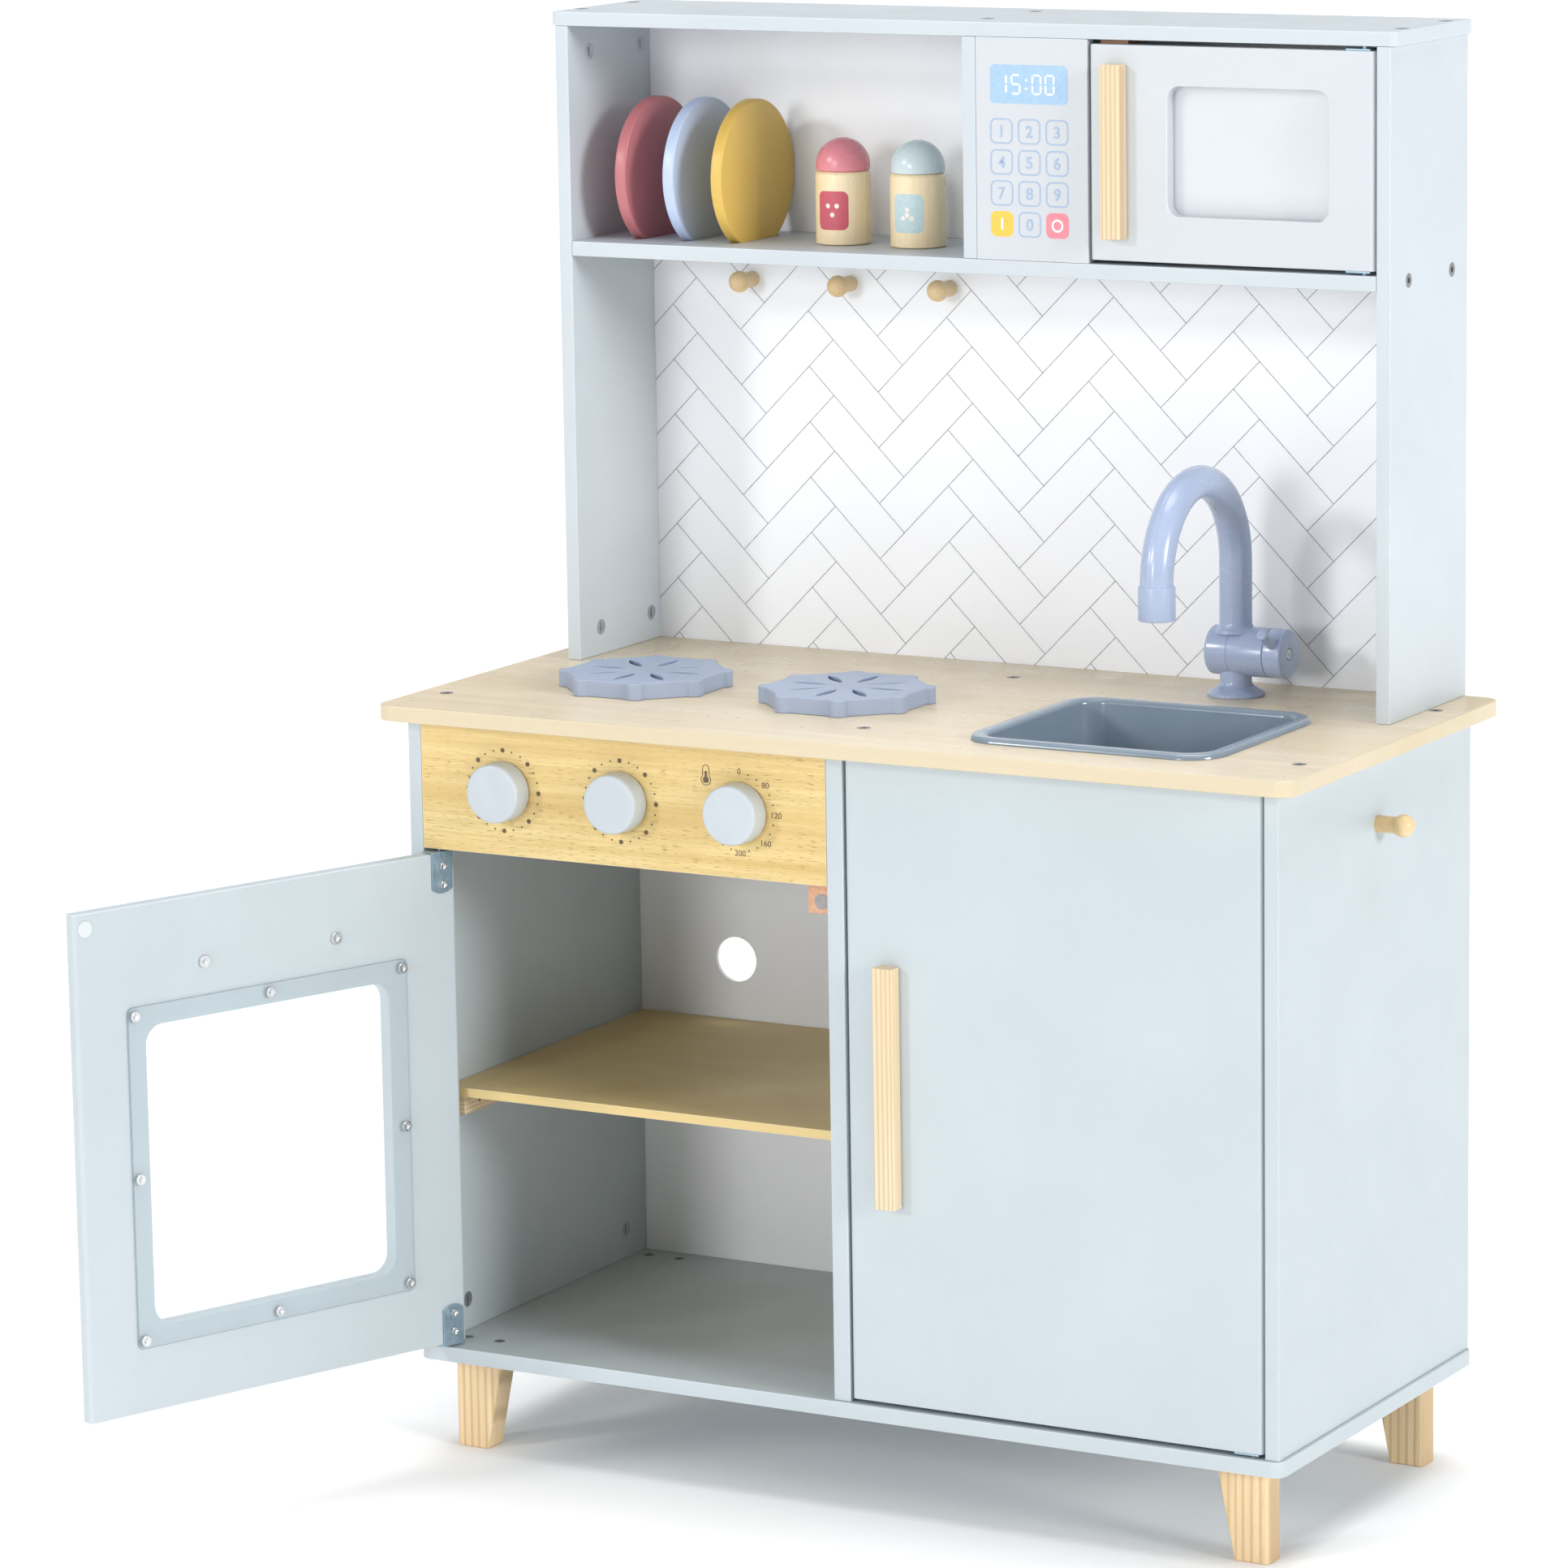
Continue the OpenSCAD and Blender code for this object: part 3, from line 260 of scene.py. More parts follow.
def wood(name, light, dark, along, grain, streak, pores=0.0, rough=0.42, rings=0.0, turned=0.0, depth=0.15):
    """Wood with its grain along axis 0, 1 or 2: broad figure, fine streaks, pores and growth rings.
    The axes can be turned about Z first, in degrees. The grain is depth mm deep."""
    n = Nodes(name)
    if turned:
        n.place = n.stretch((1, 1, 1), (0, 0, math.radians(turned)))

    def drawn_out(scale_along):
        """Coordinates in which a pattern is drawn out along the grain."""
        return n.stretch(tuple(scale_along if i == along else 1.0 for i in range(3)))

    figure = n.noise(drawn_out(0.06), grain, 4, 0.55, 0.8)
    fine = n.noise(drawn_out(0.025), 700, 3, 0.6)
    wide = n.noise(drawn_out(0.025), 170, 4, 0.6, 0.4)
    between = tuple((a + b) / 2 for a, b in zip(light, dark))
    base = n.ramp(figure, [(0.28, dark), (0.5, between), (0.72, light)])
    base = n.mix(n.span(wide, 0.42, 0.68, 0, streak * 0.5), base, shade(dark, 0.86))
    base = n.mix(n.span(fine, 0.38, 0.7, 0, streak * 0.4), base, shade(dark, 0.84))
    height = fine
    if rings:
        bands = n.add("ShaderNodeTexWave", wave_type="BANDS", bands_direction="YZX"[along])
        bands.inputs["Scale"].default_value = rings
        bands.inputs["Distortion"].default_value = 3.2
        bands.inputs["Detail"].default_value = 2
        bands.inputs["Detail Scale"].default_value = 0.6
        n.link(drawn_out(0.04), bands.inputs["Vector"])
        base = n.mix(n.span(bands.outputs["Fac"], 0.5, 1.0, 0, 0.85), base, shade(dark, 0.74))
    if pores:
        ticks = n.noise(drawn_out(0.09), 1500, 1, 0.4)
        patches = n.noise(drawn_out(0.06), 60, 2)
        mask = n.math("MULTIPLY", n.span(ticks, 0.6, 0.7), n.span(patches, 0.4, 0.6, 0.35, 1))
        base = n.mix(n.math("MULTIPLY", mask, pores), base, shade(dark, 0.55))
        height = n.math("SUBTRACT", fine, mask)
    gloss = n.span(n.noise(n.stretch((1, 1, 1)), 40, 3), 0.3, 0.7, rough - 0.05, rough + 0.08)
    n.bump(height, depth * MM, 0.35)
    return n.finish(base, gloss)


def plastic(name, colour, rough=0.3, coat=0.0):
    """Moulded plastic: a faint flow mottle, a fine grain and light scuffs in its gloss."""
    n = Nodes(name)
    flow = n.noise(n.stretch((1, 1, 0.5)), 22, 3, 0.5, 0.6)
    base = n.ramp(flow, [(0.3, shade(colour, 0.95)), (0.7, shade(colour, 1.04))])
    scuff = n.noise(n.stretch((1, 0.5, 1)), 60, 4, 0.6)
    gloss = n.span(scuff, 0.35, 0.7, rough - 0.04, rough + 0.07)
    n.bump(n.noise(n.stretch((1, 1, 1)), 240, 2, 0.5), 0.00005, 0.12)
    return n.finish(base, gloss, Coat_Weight=coat, Coat_Roughness=0.12)


def metal(name, colour, rough=0.3, plated=1.0):
    """Plated steel: metallic, with brushed gloss and a slight tarnish."""
    n = Nodes(name)
    tarnish = n.noise(n.stretch((1, 1, 1)), 160, 4, 0.6)
    base = n.ramp(tarnish, [(0.3, shade(colour, 0.8)), (0.7, shade(colour, 1.05))])
    brushed = n.noise(n.stretch((1, 1, 0.1)), 1500, 2, 0.5)
    n.bump(brushed, 0.00004, 0.4)
    return n.finish(base, n.span(brushed, 0.3, 0.7, rough - 0.08, rough + 0.12), Metallic=plated)


def ink(name, colour, rough=0.5):
    """A printed ink with a faint unevenness."""
    n = Nodes(name)
    uneven = n.noise(n.stretch((1, 1, 1)), 500, 3, 0.6)
    n.bump(uneven, 0.00003, 0.2)
    return n.finish(n.ramp(uneven, [(0.3, shade(colour, 0.92)), (0.7, shade(colour, 1.06))]), rough)


def acrylic(name, tint, density):
    """Clear sheet: mostly see-through, with faint haze and soft scratches in its gloss."""
    n = Nodes(name)
    scratch = n.noise(n.stretch((1, 1, 0.04)), 700, 3, 0.6)
    haze = n.noise(n.stretch((1, 1, 1)), 12, 3, 0.5)
    base = n.ramp(haze, [(0.3, shade(tint, 0.94)), (0.7, tint)])
    n.bump(scratch, 0.00002, 0.1)
    mat = n.finish(base, n.span(scratch, 0.4, 0.8, 0.04, 0.14))
    n.shader.inputs["Alpha"].default_value = density
    mat.use_transparency_overlap = False
    return mat


def tiled(name, colour, line):
    """White board printed with a herringbone of thin grey lines at 45 degrees."""
    n = Nodes(name)
    tile_width, tile_length, line_width = 25.58 * MM, 71.5 * MM, 0.5 * MM
    corner_x, corner_z = -198.6 * MM, 636.5 * MM
    long, thin = tile_length / tile_width, line_width / tile_width
    parts = n.add("ShaderNodeSeparateXYZ")
    n.link(n.place, parts.inputs[0])
    diagonal = tile_width * math.sqrt(2)
    x = n.math("DIVIDE", n.math("SUBTRACT", parts.outputs["X"], corner_x), diagonal)
    z = n.math("DIVIDE", n.math("SUBTRACT", parts.outputs["Z"], corner_z), diagonal)
    u = n.math("ADD", z, x)
    v = n.math("SUBTRACT", z, x)
    lean = n.math("SUBTRACT", u, v)
    period = 2 * long

    def lines(offset, along, sign, extra):
        """Segments one tile and one width long, on every whole step of the other axis. The unit
        is a tile's width."""
        w = n.math("ADD", lean, offset)
        k = n.math("FLOOR", n.math("DIVIDE", w, period))
        inside = n.math("LESS_THAN", n.math("SUBTRACT", w, n.math("MULTIPLY", k, period)), long + 1)
        step = n.math("ADD", along, n.math("MULTIPLY", n.math("ADD", k, extra), sign * long))
        gap = n.math("ABSOLUTE", n.math("SUBTRACT", step, n.math("ROUND", step)))
        return n.math("MULTIPLY", inside, n.span(gap, thin * 0.4, thin * 0.75, 1, 0))

    grid = n.math("MAXIMUM", lines(1, v, 1, 0), lines(1 - long, u, -1, 1))
    mottle = n.noise(n.stretch((1, 1, 1)), 12, 3, 0.5)
    base = n.ramp(mottle, [(0.3, shade(colour, 0.985)), (0.7, shade(colour, 1.01))])
    faded = n.span(n.noise(n.stretch((1, 1, 1)), 300, 2), 0.3, 0.7, 0.72, 1)
    base = n.mix(n.math("MULTIPLY", grid, faded), base, line)
    n.bump(n.math("MULTIPLY", grid, -1), 0.00005, 0.3)
    return n.finish(base, n.span(mottle, 0.3, 0.7, 0.36, 0.44))


# The hutch's and the microwave's paints below are lighter than the lower boards' paint. This is partly a
# paler paint and partly painted light from above, which falls more on the upper parts.
MINT = srgb(185, 195, 200)
HUTCH_TONE_WITH_TOP_LIGHT = srgb(194, 202, 208)
MICROWAVE_TONE_WITH_TOP_LIGHT = srgb(198, 203, 208)
WHITE = srgb(243, 245, 249)
PINE = srgb(233, 217, 188), srgb(222, 196, 156)
TO_SIDE, TO_BACK, UPRIGHT = 0, 1, 2
OVEN_DOOR_TURN = 111.0
M = {
    "mint": painted("mint_paint", MINT),
    "mint_edge": painted("mint_paint_edge", shade(MINT, 1.05), 0.5),
    # These paints for the hutch and the microwave carry painted light from above in their lighter colour.
    "mist": painted("hutch_paint_top_lit", HUTCH_TONE_WITH_TOP_LIGHT),
    "mist_edge": painted("hutch_edge_paint_top_lit", shade(HUTCH_TONE_WITH_TOP_LIGHT, 1.05), 0.5),
    "pale": painted("microwave_paint_top_lit", MICROWAVE_TONE_WITH_TOP_LIGHT),
    "pale_edge": painted("microwave_edge_paint_top_lit", shade(MICROWAVE_TONE_WITH_TOP_LIGHT, 1.05), 0.5),
    "white": painted("white_paint", WHITE),
    "tiles": tiled("herringbone_print", WHITE, srgb(120, 125, 135)),
    "worktop": wood("worktop_grain", srgb(228, 216, 194), srgb(214, 196, 164), TO_SIDE, 16, 0.9,
                    rough=0.3, depth=0.02),
    "worktop_edge": wood("worktop_edge", srgb(212, 199, 172), srgb(204, 189, 157), TO_SIDE, 10, 0.2,
                         rough=0.4, depth=0.03),
    "oak": wood("oak_grain", srgb(236, 217, 162), srgb(208, 176, 106), TO_SIDE, 30, 1.0, pores=0.9),
    "shelf": wood("shelf_laminate", srgb(222, 198, 140), srgb(212, 186, 126), TO_SIDE, 9, 0.35,
                  rough=0.38, depth=0.03),
    "shelf_edge": wood("shelf_edge", srgb(226, 208, 160), srgb(218, 198, 148), TO_SIDE, 12, 0.3, rough=0.45),
    "pine": wood("pine_upright", *PINE, UPRIGHT, 34, 0.7, rings=105.0),
    "pine_deep": wood("pine_level", *PINE, TO_BACK, 34, 0.7, rings=105.0),
    "pine_open": wood("pine_open", *PINE, TO_SIDE, 34, 0.7, rings=105.0, turned=OVEN_DOOR_TURN),
    "foot": wood("foot_pine", srgb(236, 212, 172), srgb(222, 190, 144), UPRIGHT, 30, 0.8,
                 pores=0.2, rough=0.48, rings=60.0),
    "peg": wood("peg_wood", srgb(232, 208, 162), srgb(216, 186, 136), TO_BACK, 60, 0.6, rough=0.38),
    "beech": wood("turned_beech", srgb(250, 232, 196), srgb(240, 218, 176), UPRIGHT, 60, 0.6,
                  pores=0.2, rough=0.3),
    "block": wood("block_wood", srgb(222, 178, 146), srgb(200, 150, 118), TO_BACK, 60, 0.8,
                  pores=0.3, rough=0.5),
    "screw": metal("screw_steel", srgb(226, 228, 230), 0.24),
    "hinge": metal("hinge_zinc", srgb(158, 182, 196), 0.34, 0.8),
    "nut": metal("barrel_nut", srgb(196, 202, 208), 0.36),
    "bolt": metal("bolt_head", srgb(142, 142, 144), 0.4, 0.6),
    "magnet": metal("nickel", srgb(150, 146, 147), 0.4, 0.7),
    "disc": plastic("catch_disc", srgb(206, 211, 215), 0.4),
    "knob": plastic("knob_plastic", srgb(185, 193, 198), 0.36),
    "blue_grey": plastic("blue_grey_plastic", srgb(166, 180, 208), 0.24, 0.25),
    "blue_grey_matt": plastic("burner_plastic", srgb(155, 168, 190), 0.42),
    "sink": plastic("sink_plastic", srgb(126, 141, 155), 0.2, 0.4),
    "acrylic": acrylic("clear_acrylic", srgb(204, 218, 225), 0.22),
    # The microwave pane is really clear: its near-white tint and its density of 0.62 are a painted
    # reflection of the studio and painted light from the lit back panel behind it.
    "acrylic_painted_reflection": acrylic("clear_acrylic_with_painted_reflection", srgb(244, 248, 253), 0.62),
    "acrylic_edge": acrylic("acrylic_edge", srgb(130, 150, 158), 0.4),
    "red": painted("red_paint", srgb(186, 112, 116), 0.0, 0.38),
    "blue": painted("blue_paint", srgb(184, 200, 229), 0.0, 0.38),
    "yellow": painted("yellow_paint", srgb(216, 180, 88), 0.0, 0.38),
    "cap_red": painted("red_gloss", srgb(219, 136, 146), 0.0, 0.26),
    "cap_mint": painted("mint_gloss", srgb(200, 215, 219), 0.0, 0.26),
    "ink_red": ink("red_ink", srgb(200, 88, 104)),
    "ink_mint": ink("mint_ink", srgb(190, 212, 216)),
    "ink_cream": ink("cream_ink", srgb(244, 236, 224)),
    "ink_dark": ink("dark_ink", srgb(96, 78, 52)),
    "ink_blue": ink("blue_ink", srgb(160, 192, 222), 0.3),
    "ink_line": ink("key_line_ink", srgb(160, 180, 206)),
    "ink_white": ink("white_ink", srgb(250, 252, 255)),
    "ink_amber": ink("amber_ink", srgb(244, 192, 74)),
    "ink_pink": ink("pink_ink", srgb(232, 134, 148)),
}


# ---- Mesh tools ----

def add_piece(name, mesh, materials, body, angle=35, replaces=()):
    """Makes the mesh an object with smooth shading between its sharp edges, on a body."""
    for key in materials:
        mesh.materials.append(M[key])
    for polygon in mesh.polygons:
        polygon.use_smooth = True
    mesh.set_sharp_from_angle(angle=math.radians(angle))
    piece = bpy.data.objects.new(name, mesh)
    scene.collection.objects.link(piece)
    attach(piece, body)
    if replaces:
        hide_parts(*replaces)
    return piece


def mesh_of(name, verts, faces):
    """A mesh with its faces turned outwards."""
    mesh = bpy.data.meshes.new(name)
    mesh.from_pydata([tuple(v) for v in verts], [], faces)
    mesh.validate()
    bm = bmesh.new()
    bm.from_mesh(mesh)
    bmesh.ops.recalc_face_normals(bm, faces=bm.faces)
    bm.to_mesh(mesh)
    bm.free()
    return mesh


def sharp_loops(bm, angle, smallest):
    """The sharp edges, without those of holes and bosses smaller than the smallest size."""
    sharp = {e for e in bm.edges if len(e.link_faces) == 2 and e.calc_face_angle(0) > angle}
    kept, left = [], set(sharp)
    while left:
        group, queue = [], [left.pop()]
        while queue:
            edge = queue.pop()
            group.append(edge)
            for vert in edge.verts:
                for other in vert.link_edges:
                    if other in left:
                        left.discard(other)
                        queue.append(other)
        places = [v.co for e in group for v in e.verts]
        reach = max(max(p[i] for p in places) - min(p[i] for p in places) for i in range(3))
        if reach > smallest:
            kept += group
    return kept


def ease(node, materials, width=0.7, steps=2, angle=35, smallest=13):
    """A CAD node's solid with its coplanar faces merged and its long sharp edges rounded over.
    The second material, if there is one, goes on the rounded edges. Sizes are in mm."""
    source = frame["nodes"][node]
    mesh = source.data.copy()
    mesh.materials.clear()
    bm = bmesh.new()
    bm.from_mesh(mesh)
    bmesh.ops.remove_doubles(bm, verts=bm.verts, dist=3e-6)
    bmesh.ops.dissolve_limit(bm, angle_limit=math.radians(0.4), verts=bm.verts, edges=bm.edges,
                             delimit=set())
    for face in bm.faces:
        face.material_index = 0
    edges = sharp_loops(bm, math.radians(angle), smallest * MM)
    bmesh.ops.bevel(bm, geom=edges, offset=width * MM, segments=steps, profile=0.5, affect="EDGES",
                    clamp_overlap=False, material=min(1, len(materials) - 1))
    bm.to_mesh(mesh)
    bm.free()
    if "custom_normal" in mesh.attributes:
        mesh.attributes.remove(mesh.attributes["custom_normal"])
    piece = add_piece(node + "_eased", mesh, materials, source["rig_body"], angle, (node,))
    weigh = piece.modifiers.new("even_faces", "WEIGHTED_NORMAL")
    weigh.keep_sharp = True
    weigh.weight = 100
    return piece


# Turns that lay a profile's height along an axis
UP = Matrix.Identity(3)
TO_RIGHT = Matrix.Rotation(math.radians(90), 3, "Y")
TO_FRONT = Matrix.Rotation(math.radians(90), 3, "X")


def lathe(profile, origin, turn=UP, steps=96):
    """Turns (radius, height) pairs about an axis through origin. Ends at radius 0 are closed."""
    verts, faces, rings = [], [], []
    for r, h in profile:
        if r < 1e-9:
            rings.append([len(verts)])
            verts.append(Vector((0, 0, h)))
            continue
        rings.append(list(range(len(verts), len(verts) + steps)))
        for i in range(steps):
            a = 2 * math.pi * i / steps
            verts.append(Vector((r * math.cos(a), r * math.sin(a), h)))
    for low, high in zip(rings, rings[1:]):
        for i in range(steps):
            j = (i + 1) % steps
            if len(low) == 1:
                faces.append((low[0], high[i], high[j]))
            elif len(high) == 1:
                faces.append((low[i], low[j], high[0]))
            else:
                faces.append((low[i], low[j], high[j], high[i]))
    return [turn @ v + Vector(origin) for v in verts], faces


def skin(rings):
    """A closed skin over rings that have as many points each, flat at both ends."""
    count = len(rings[0])
    faces = []
    for k in range(len(rings) - 1):
        low, high = k * count, (k + 1) * count
        for i in range(count):
            j = (i + 1) % count
            faces.append((low + i, low + j, high + j, high + i))
    last = (len(rings) - 1) * count
    faces.append(tuple(range(count)))
    faces.append(tuple(range(last, last + count)))
    return [v for ring in rings for v in ring], faces


def arc(cx, cy, r, start, stop, steps=6):
    """Points of an arc, for profiles: angles in degrees from the first axis."""
    angles = [math.radians(start + (stop - start) * i / steps) for i in range(steps + 1)]
    return [(cx + r * math.cos(a), cy + r * math.sin(a)) for a in angles]


def quarter(angle):
    """How far a quarter round has leaned in and risen at an angle, each from 0 to 1."""
    return 1 - math.cos(math.radians(angle)), math.sin(math.radians(angle))


def cove(radius, flare, rise, low, angles):
    """The hollow round, for profiles, from a wide foot up to an upright of this radius."""
    turns = [quarter(angle) for angle in angles]
    return [(radius + flare * (1 - high), low + rise * lean) for lean, high in turns]


# Thickness of a print, and of a second one on top of it
INK = 0.12 * MM
OVERPRINT = 0.08 * MM


class Shapes:
    """Collects closed shapes and makes one mesh of them."""

    def __init__(self):
        self.verts, self.faces = [], []

    def take(self, verts, faces):
        start = len(self.verts)
        self.verts += [Vector(v) for v in verts]
        self.faces += [tuple(i + start for i in f) for f in faces]

    def slab(self, outline, y, thick=INK, hole=None):
        """A flat shape facing the front, at depth y, from outline points (x, z). With a hole,
        both outlines have as many points."""
        n = len(outline)
        verts = []
        for line in (outline, hole or ()):
            for depth in (y - thick, y):
                verts += [Vector((x, depth, z)) for x, z in line]
        faces = []
        if hole is None:
            faces += [tuple(range(n)), tuple(range(2 * n - 1, n - 1, -1))]
        for i in range(n):
            j = (i + 1) % n
            faces.append((i, i + n, j + n, j))
            if hole is not None:
                faces += [(i, j, j + 2 * n, i + 2 * n), (i + n, i + 3 * n, j + 3 * n, j + n),
                          (i + 2 * n, j + 2 * n, j + 3 * n, i + 3 * n)]
        self.take(verts, faces)

    def words(self, text, size, x, z, y, bold=0.0):
        """Plain numerals, centred on (x, z) and facing the front."""
        curve = bpy.data.curves.new("numerals", "FONT")
        curve.body, curve.size, curve.extrude, curve.offset = text, size, INK / 2, bold
        curve.align_x, curve.align_y = "CENTER", "CENTER"
        curve.resolution_u = 6
        holder = bpy.data.objects.new("numerals", curve)
        mesh = bpy.data.meshes.new_from_object(holder)
        wide = [v.co.x for v in mesh.vertices]
        tall = [v.co.y for v in mesh.vertices]
        shift_x, shift_z = x - (min(wide) + max(wide)) / 2, z - (min(tall) + max(tall)) / 2
        verts = [Vector((v.co.x + shift_x, y - INK / 2 - v.co.z, v.co.y + shift_z)) for v in mesh.vertices]
        self.take(verts, [tuple(p.vertices) for p in mesh.polygons])
        bpy.data.objects.remove(holder)
        bpy.data.curves.remove(curve)
        bpy.data.meshes.remove(mesh)

    def piece(self, name, materials, body, slot=None, angle=35, replaces=()):
        mesh = mesh_of(name, self.verts, self.faces)
        return add_piece(name, mesh, materials, body, angle, replaces)


def turned(name, profile, origin, turn, steps, key, body, slot, angle, replaces):
    """A piece off the lathe, in one material."""
    shapes = Shapes()
    shapes.take(*lathe(profile, origin, turn, steps))
    return shapes.piece(name, (key,), body, slot, angle, replaces)


def rounded(w, h, r, steps=6, cx=0.0, cz=0.0):
    """The outline of a rounded rectangle, anticlockwise."""
    points = []
    for sx, sz, start in ((1, 1, 0), (-1, 1, 90), (-1, -1, 180), (1, -1, 270)):
        points += arc(cx + sx * (w / 2 - r), cz + sz * (h / 2 - r), r, start, start + 90, steps)
    return points


def disc(x, z, r, steps=20):
    """The outline of a circle, anticlockwise."""
    return arc(x, z, r, 0, 360, steps)[:-1]


def middle(node):
    """The centre of a CAD node's box."""
    low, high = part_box(node)
    return (low + high) / 2


def paint_node(node, key):
    """Gives a CAD node a finished material."""
    mesh = frame["nodes"][node].data
    mesh.materials.clear()
    mesh.materials.append(M[key])
    for polygon in mesh.polygons:
        polygon.material_index = 0


# ---- Boards ----

def dress_boards():
    """The boards and wooden parts: the CAD solids with their sharp edges rounded over."""
    for node in ("bottom_panel", "left_side_panel", "right_side_panel", "divider_panel"):
        ease(node, ("mint", "mint_edge"), 0.8)
    for node in ("oven_door", "cabinet_door"):
        ease(node, ("mint", "mint_edge"), 0.9, 3)
    # The hutch boards' paint is partly painted light from above.
    for node in ("hutch_left_panel", "hutch_right_panel", "hutch_top", "hutch_shelf", "hutch_divider"):
        ease(node, ("mist", "mist_edge"), 0.8)
    # The microwave's paint is partly painted light from above.
    ease("microwave_key_panel", ("pale", "pale_edge"), 0.6)
    ease("microwave_door", ("pale", "pale_edge"), 0.9, 3)
    for node in ("lower_back_panel", "upper_back_panel"):
        ease(node, ("white",), 0.2, 1)
    ease("tiled_back_panel", ("tiles",), 0.2, 1)
    ease("control_panel", ("oak", "worktop_edge"), 0.4)
    ease("oven_shelf", ("shelf", "shelf_edge"), 0.5)
    ease("shelf_battens", ("pine_deep",), 0.5)
    ease("catch_blocks", ("block",), 0.4)
    ease("feet", ("foot",), 1.2, 3)
    top = ease("worktop", ("worktop", "worktop_edge"), 0.9, 3)
    for polygon in top.data.polygons:
        if abs(polygon.normal.z) < 0.8:
            polygon.material_index = 1
    ease("oven_door_handle", ("pine_open",), 0.5)
    for node in ("cabinet_door_handle", "microwave_door_handle"):
        ease(node, ("pine",), 0.5)


def dress_small_nodes():
    """Screws, hinges, catches and the two clear panes. The broad sides of a pane are drawn in
    from those of the door round it, so that the two don't share a surface."""
    pane_inset = 0.06 * MM
    for node in ("underside_screws", "tap_cap_screw"):
        paint_node(node, "screw")
    paint_node("foot_screws", "bolt")
    for node in ("oven_door_screws", "cabinet_door_screws", "microwave_door_screws"):
        ease(node, ("screw",), 0.28, 2, smallest=1)
    for node in ("oven_hinge_plates", "cabinet_hinge_plates", "microwave_hinge_plates"):
        ease(node, ("hinge",), 0.25, 2, smallest=6)
    paint_node("barrel_nuts", "nut")
    paint_node("panel_bolts", "bolt")
    paint_node("catch_magnets", "magnet")
    for node in ("oven_catch_disc", "cabinet_catch_disc", "microwave_catch_disc"):
        paint_node(node, "disc")
    # The microwave pane's whitish look is a painted reflection, not haze in the sheet.
    for node, key in (("oven_door_pane", "acrylic"), ("microwave_door_pane", "acrylic_painted_reflection")):
        pane = ease(node, (key, "acrylic_edge"), 0.25, 1)
        broad = max(pane.data.polygons, key=lambda p: p.area).normal.copy()
        depths = [v.co.dot(broad) for v in pane.data.vertices]
        centre = (min(depths) + max(depths)) / 2
        for vert, depth in zip(pane.data.vertices, depths):
            vert.co -= broad * math.copysign(pane_inset, depth - centre)
        for polygon in pane.data.polygons:
            polygon.material_index = 0 if abs(polygon.normal.dot(broad)) > 0.95 else 1


# ---- Turned pieces ----

def turn_knobs():
    """A knob in one turn: a foot on the panel, a thin spindle, and the grip, which tapers and
    is slightly dished in front."""
    foot_r, foot_deep, foot_edge = 8 * MM, 2 * MM, 0.4 * MM
    spindle, grip, taper, dish = 4 * MM, 14 * MM, 0.5 * MM, 0.2 * MM
    back_edge, front_edge = 0.7 * MM, 1.9 * MM
    for side in ("left", "middle", "right"):
        node = "knob_" + side
        low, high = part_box(node)
        centre = (low + high) / 2
        r, deep = (high.x - low.x) / 2, high.y - low.y
        back = deep - grip
        profile = [(0, 0)] + arc(foot_r - foot_edge, foot_edge, foot_edge, -90, 0, 3)
        profile += [(foot_r, foot_deep), (spindle, foot_deep), (spindle, back)]
        profile += arc(r - back_edge, back + back_edge, back_edge, -90, 0, 4)
        profile += arc(r - taper - front_edge, deep - front_edge, front_edge, 0, 90, 8)
        profile += [(r * 0.6, deep - dish * 0.75), (0, deep - dish)]
        turned(node + "_turned", profile, (centre.x, high.y, centre.z), TO_FRONT, 128,
               "knob", side + "_knob_body", "knob_plastic", 40, (node,))


def turn_plates():
    """Painted discs that stand on edge, side by side."""
    edge = 1.5 * MM
    for colour in ("red", "blue", "yellow"):
        node = "plate_" + colour
        low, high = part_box(node)
        centre = (low + high) / 2
        r, thick = (high.y - low.y) / 2, high.x - low.x
        profile = [(0, 0), (r * 0.55, 0)] + arc(r - edge, edge, edge, -90, 0, 6)
        profile += arc(r - edge, thick - edge, edge, 0, 90, 6) + [(r * 0.55, thick), (0, thick)]
        turned(node + "_turned", profile, (low.x, centre.y, centre.z), TO_RIGHT, 160,
               colour, colour + "_plate_body", colour + "_paint", 50, (node,))


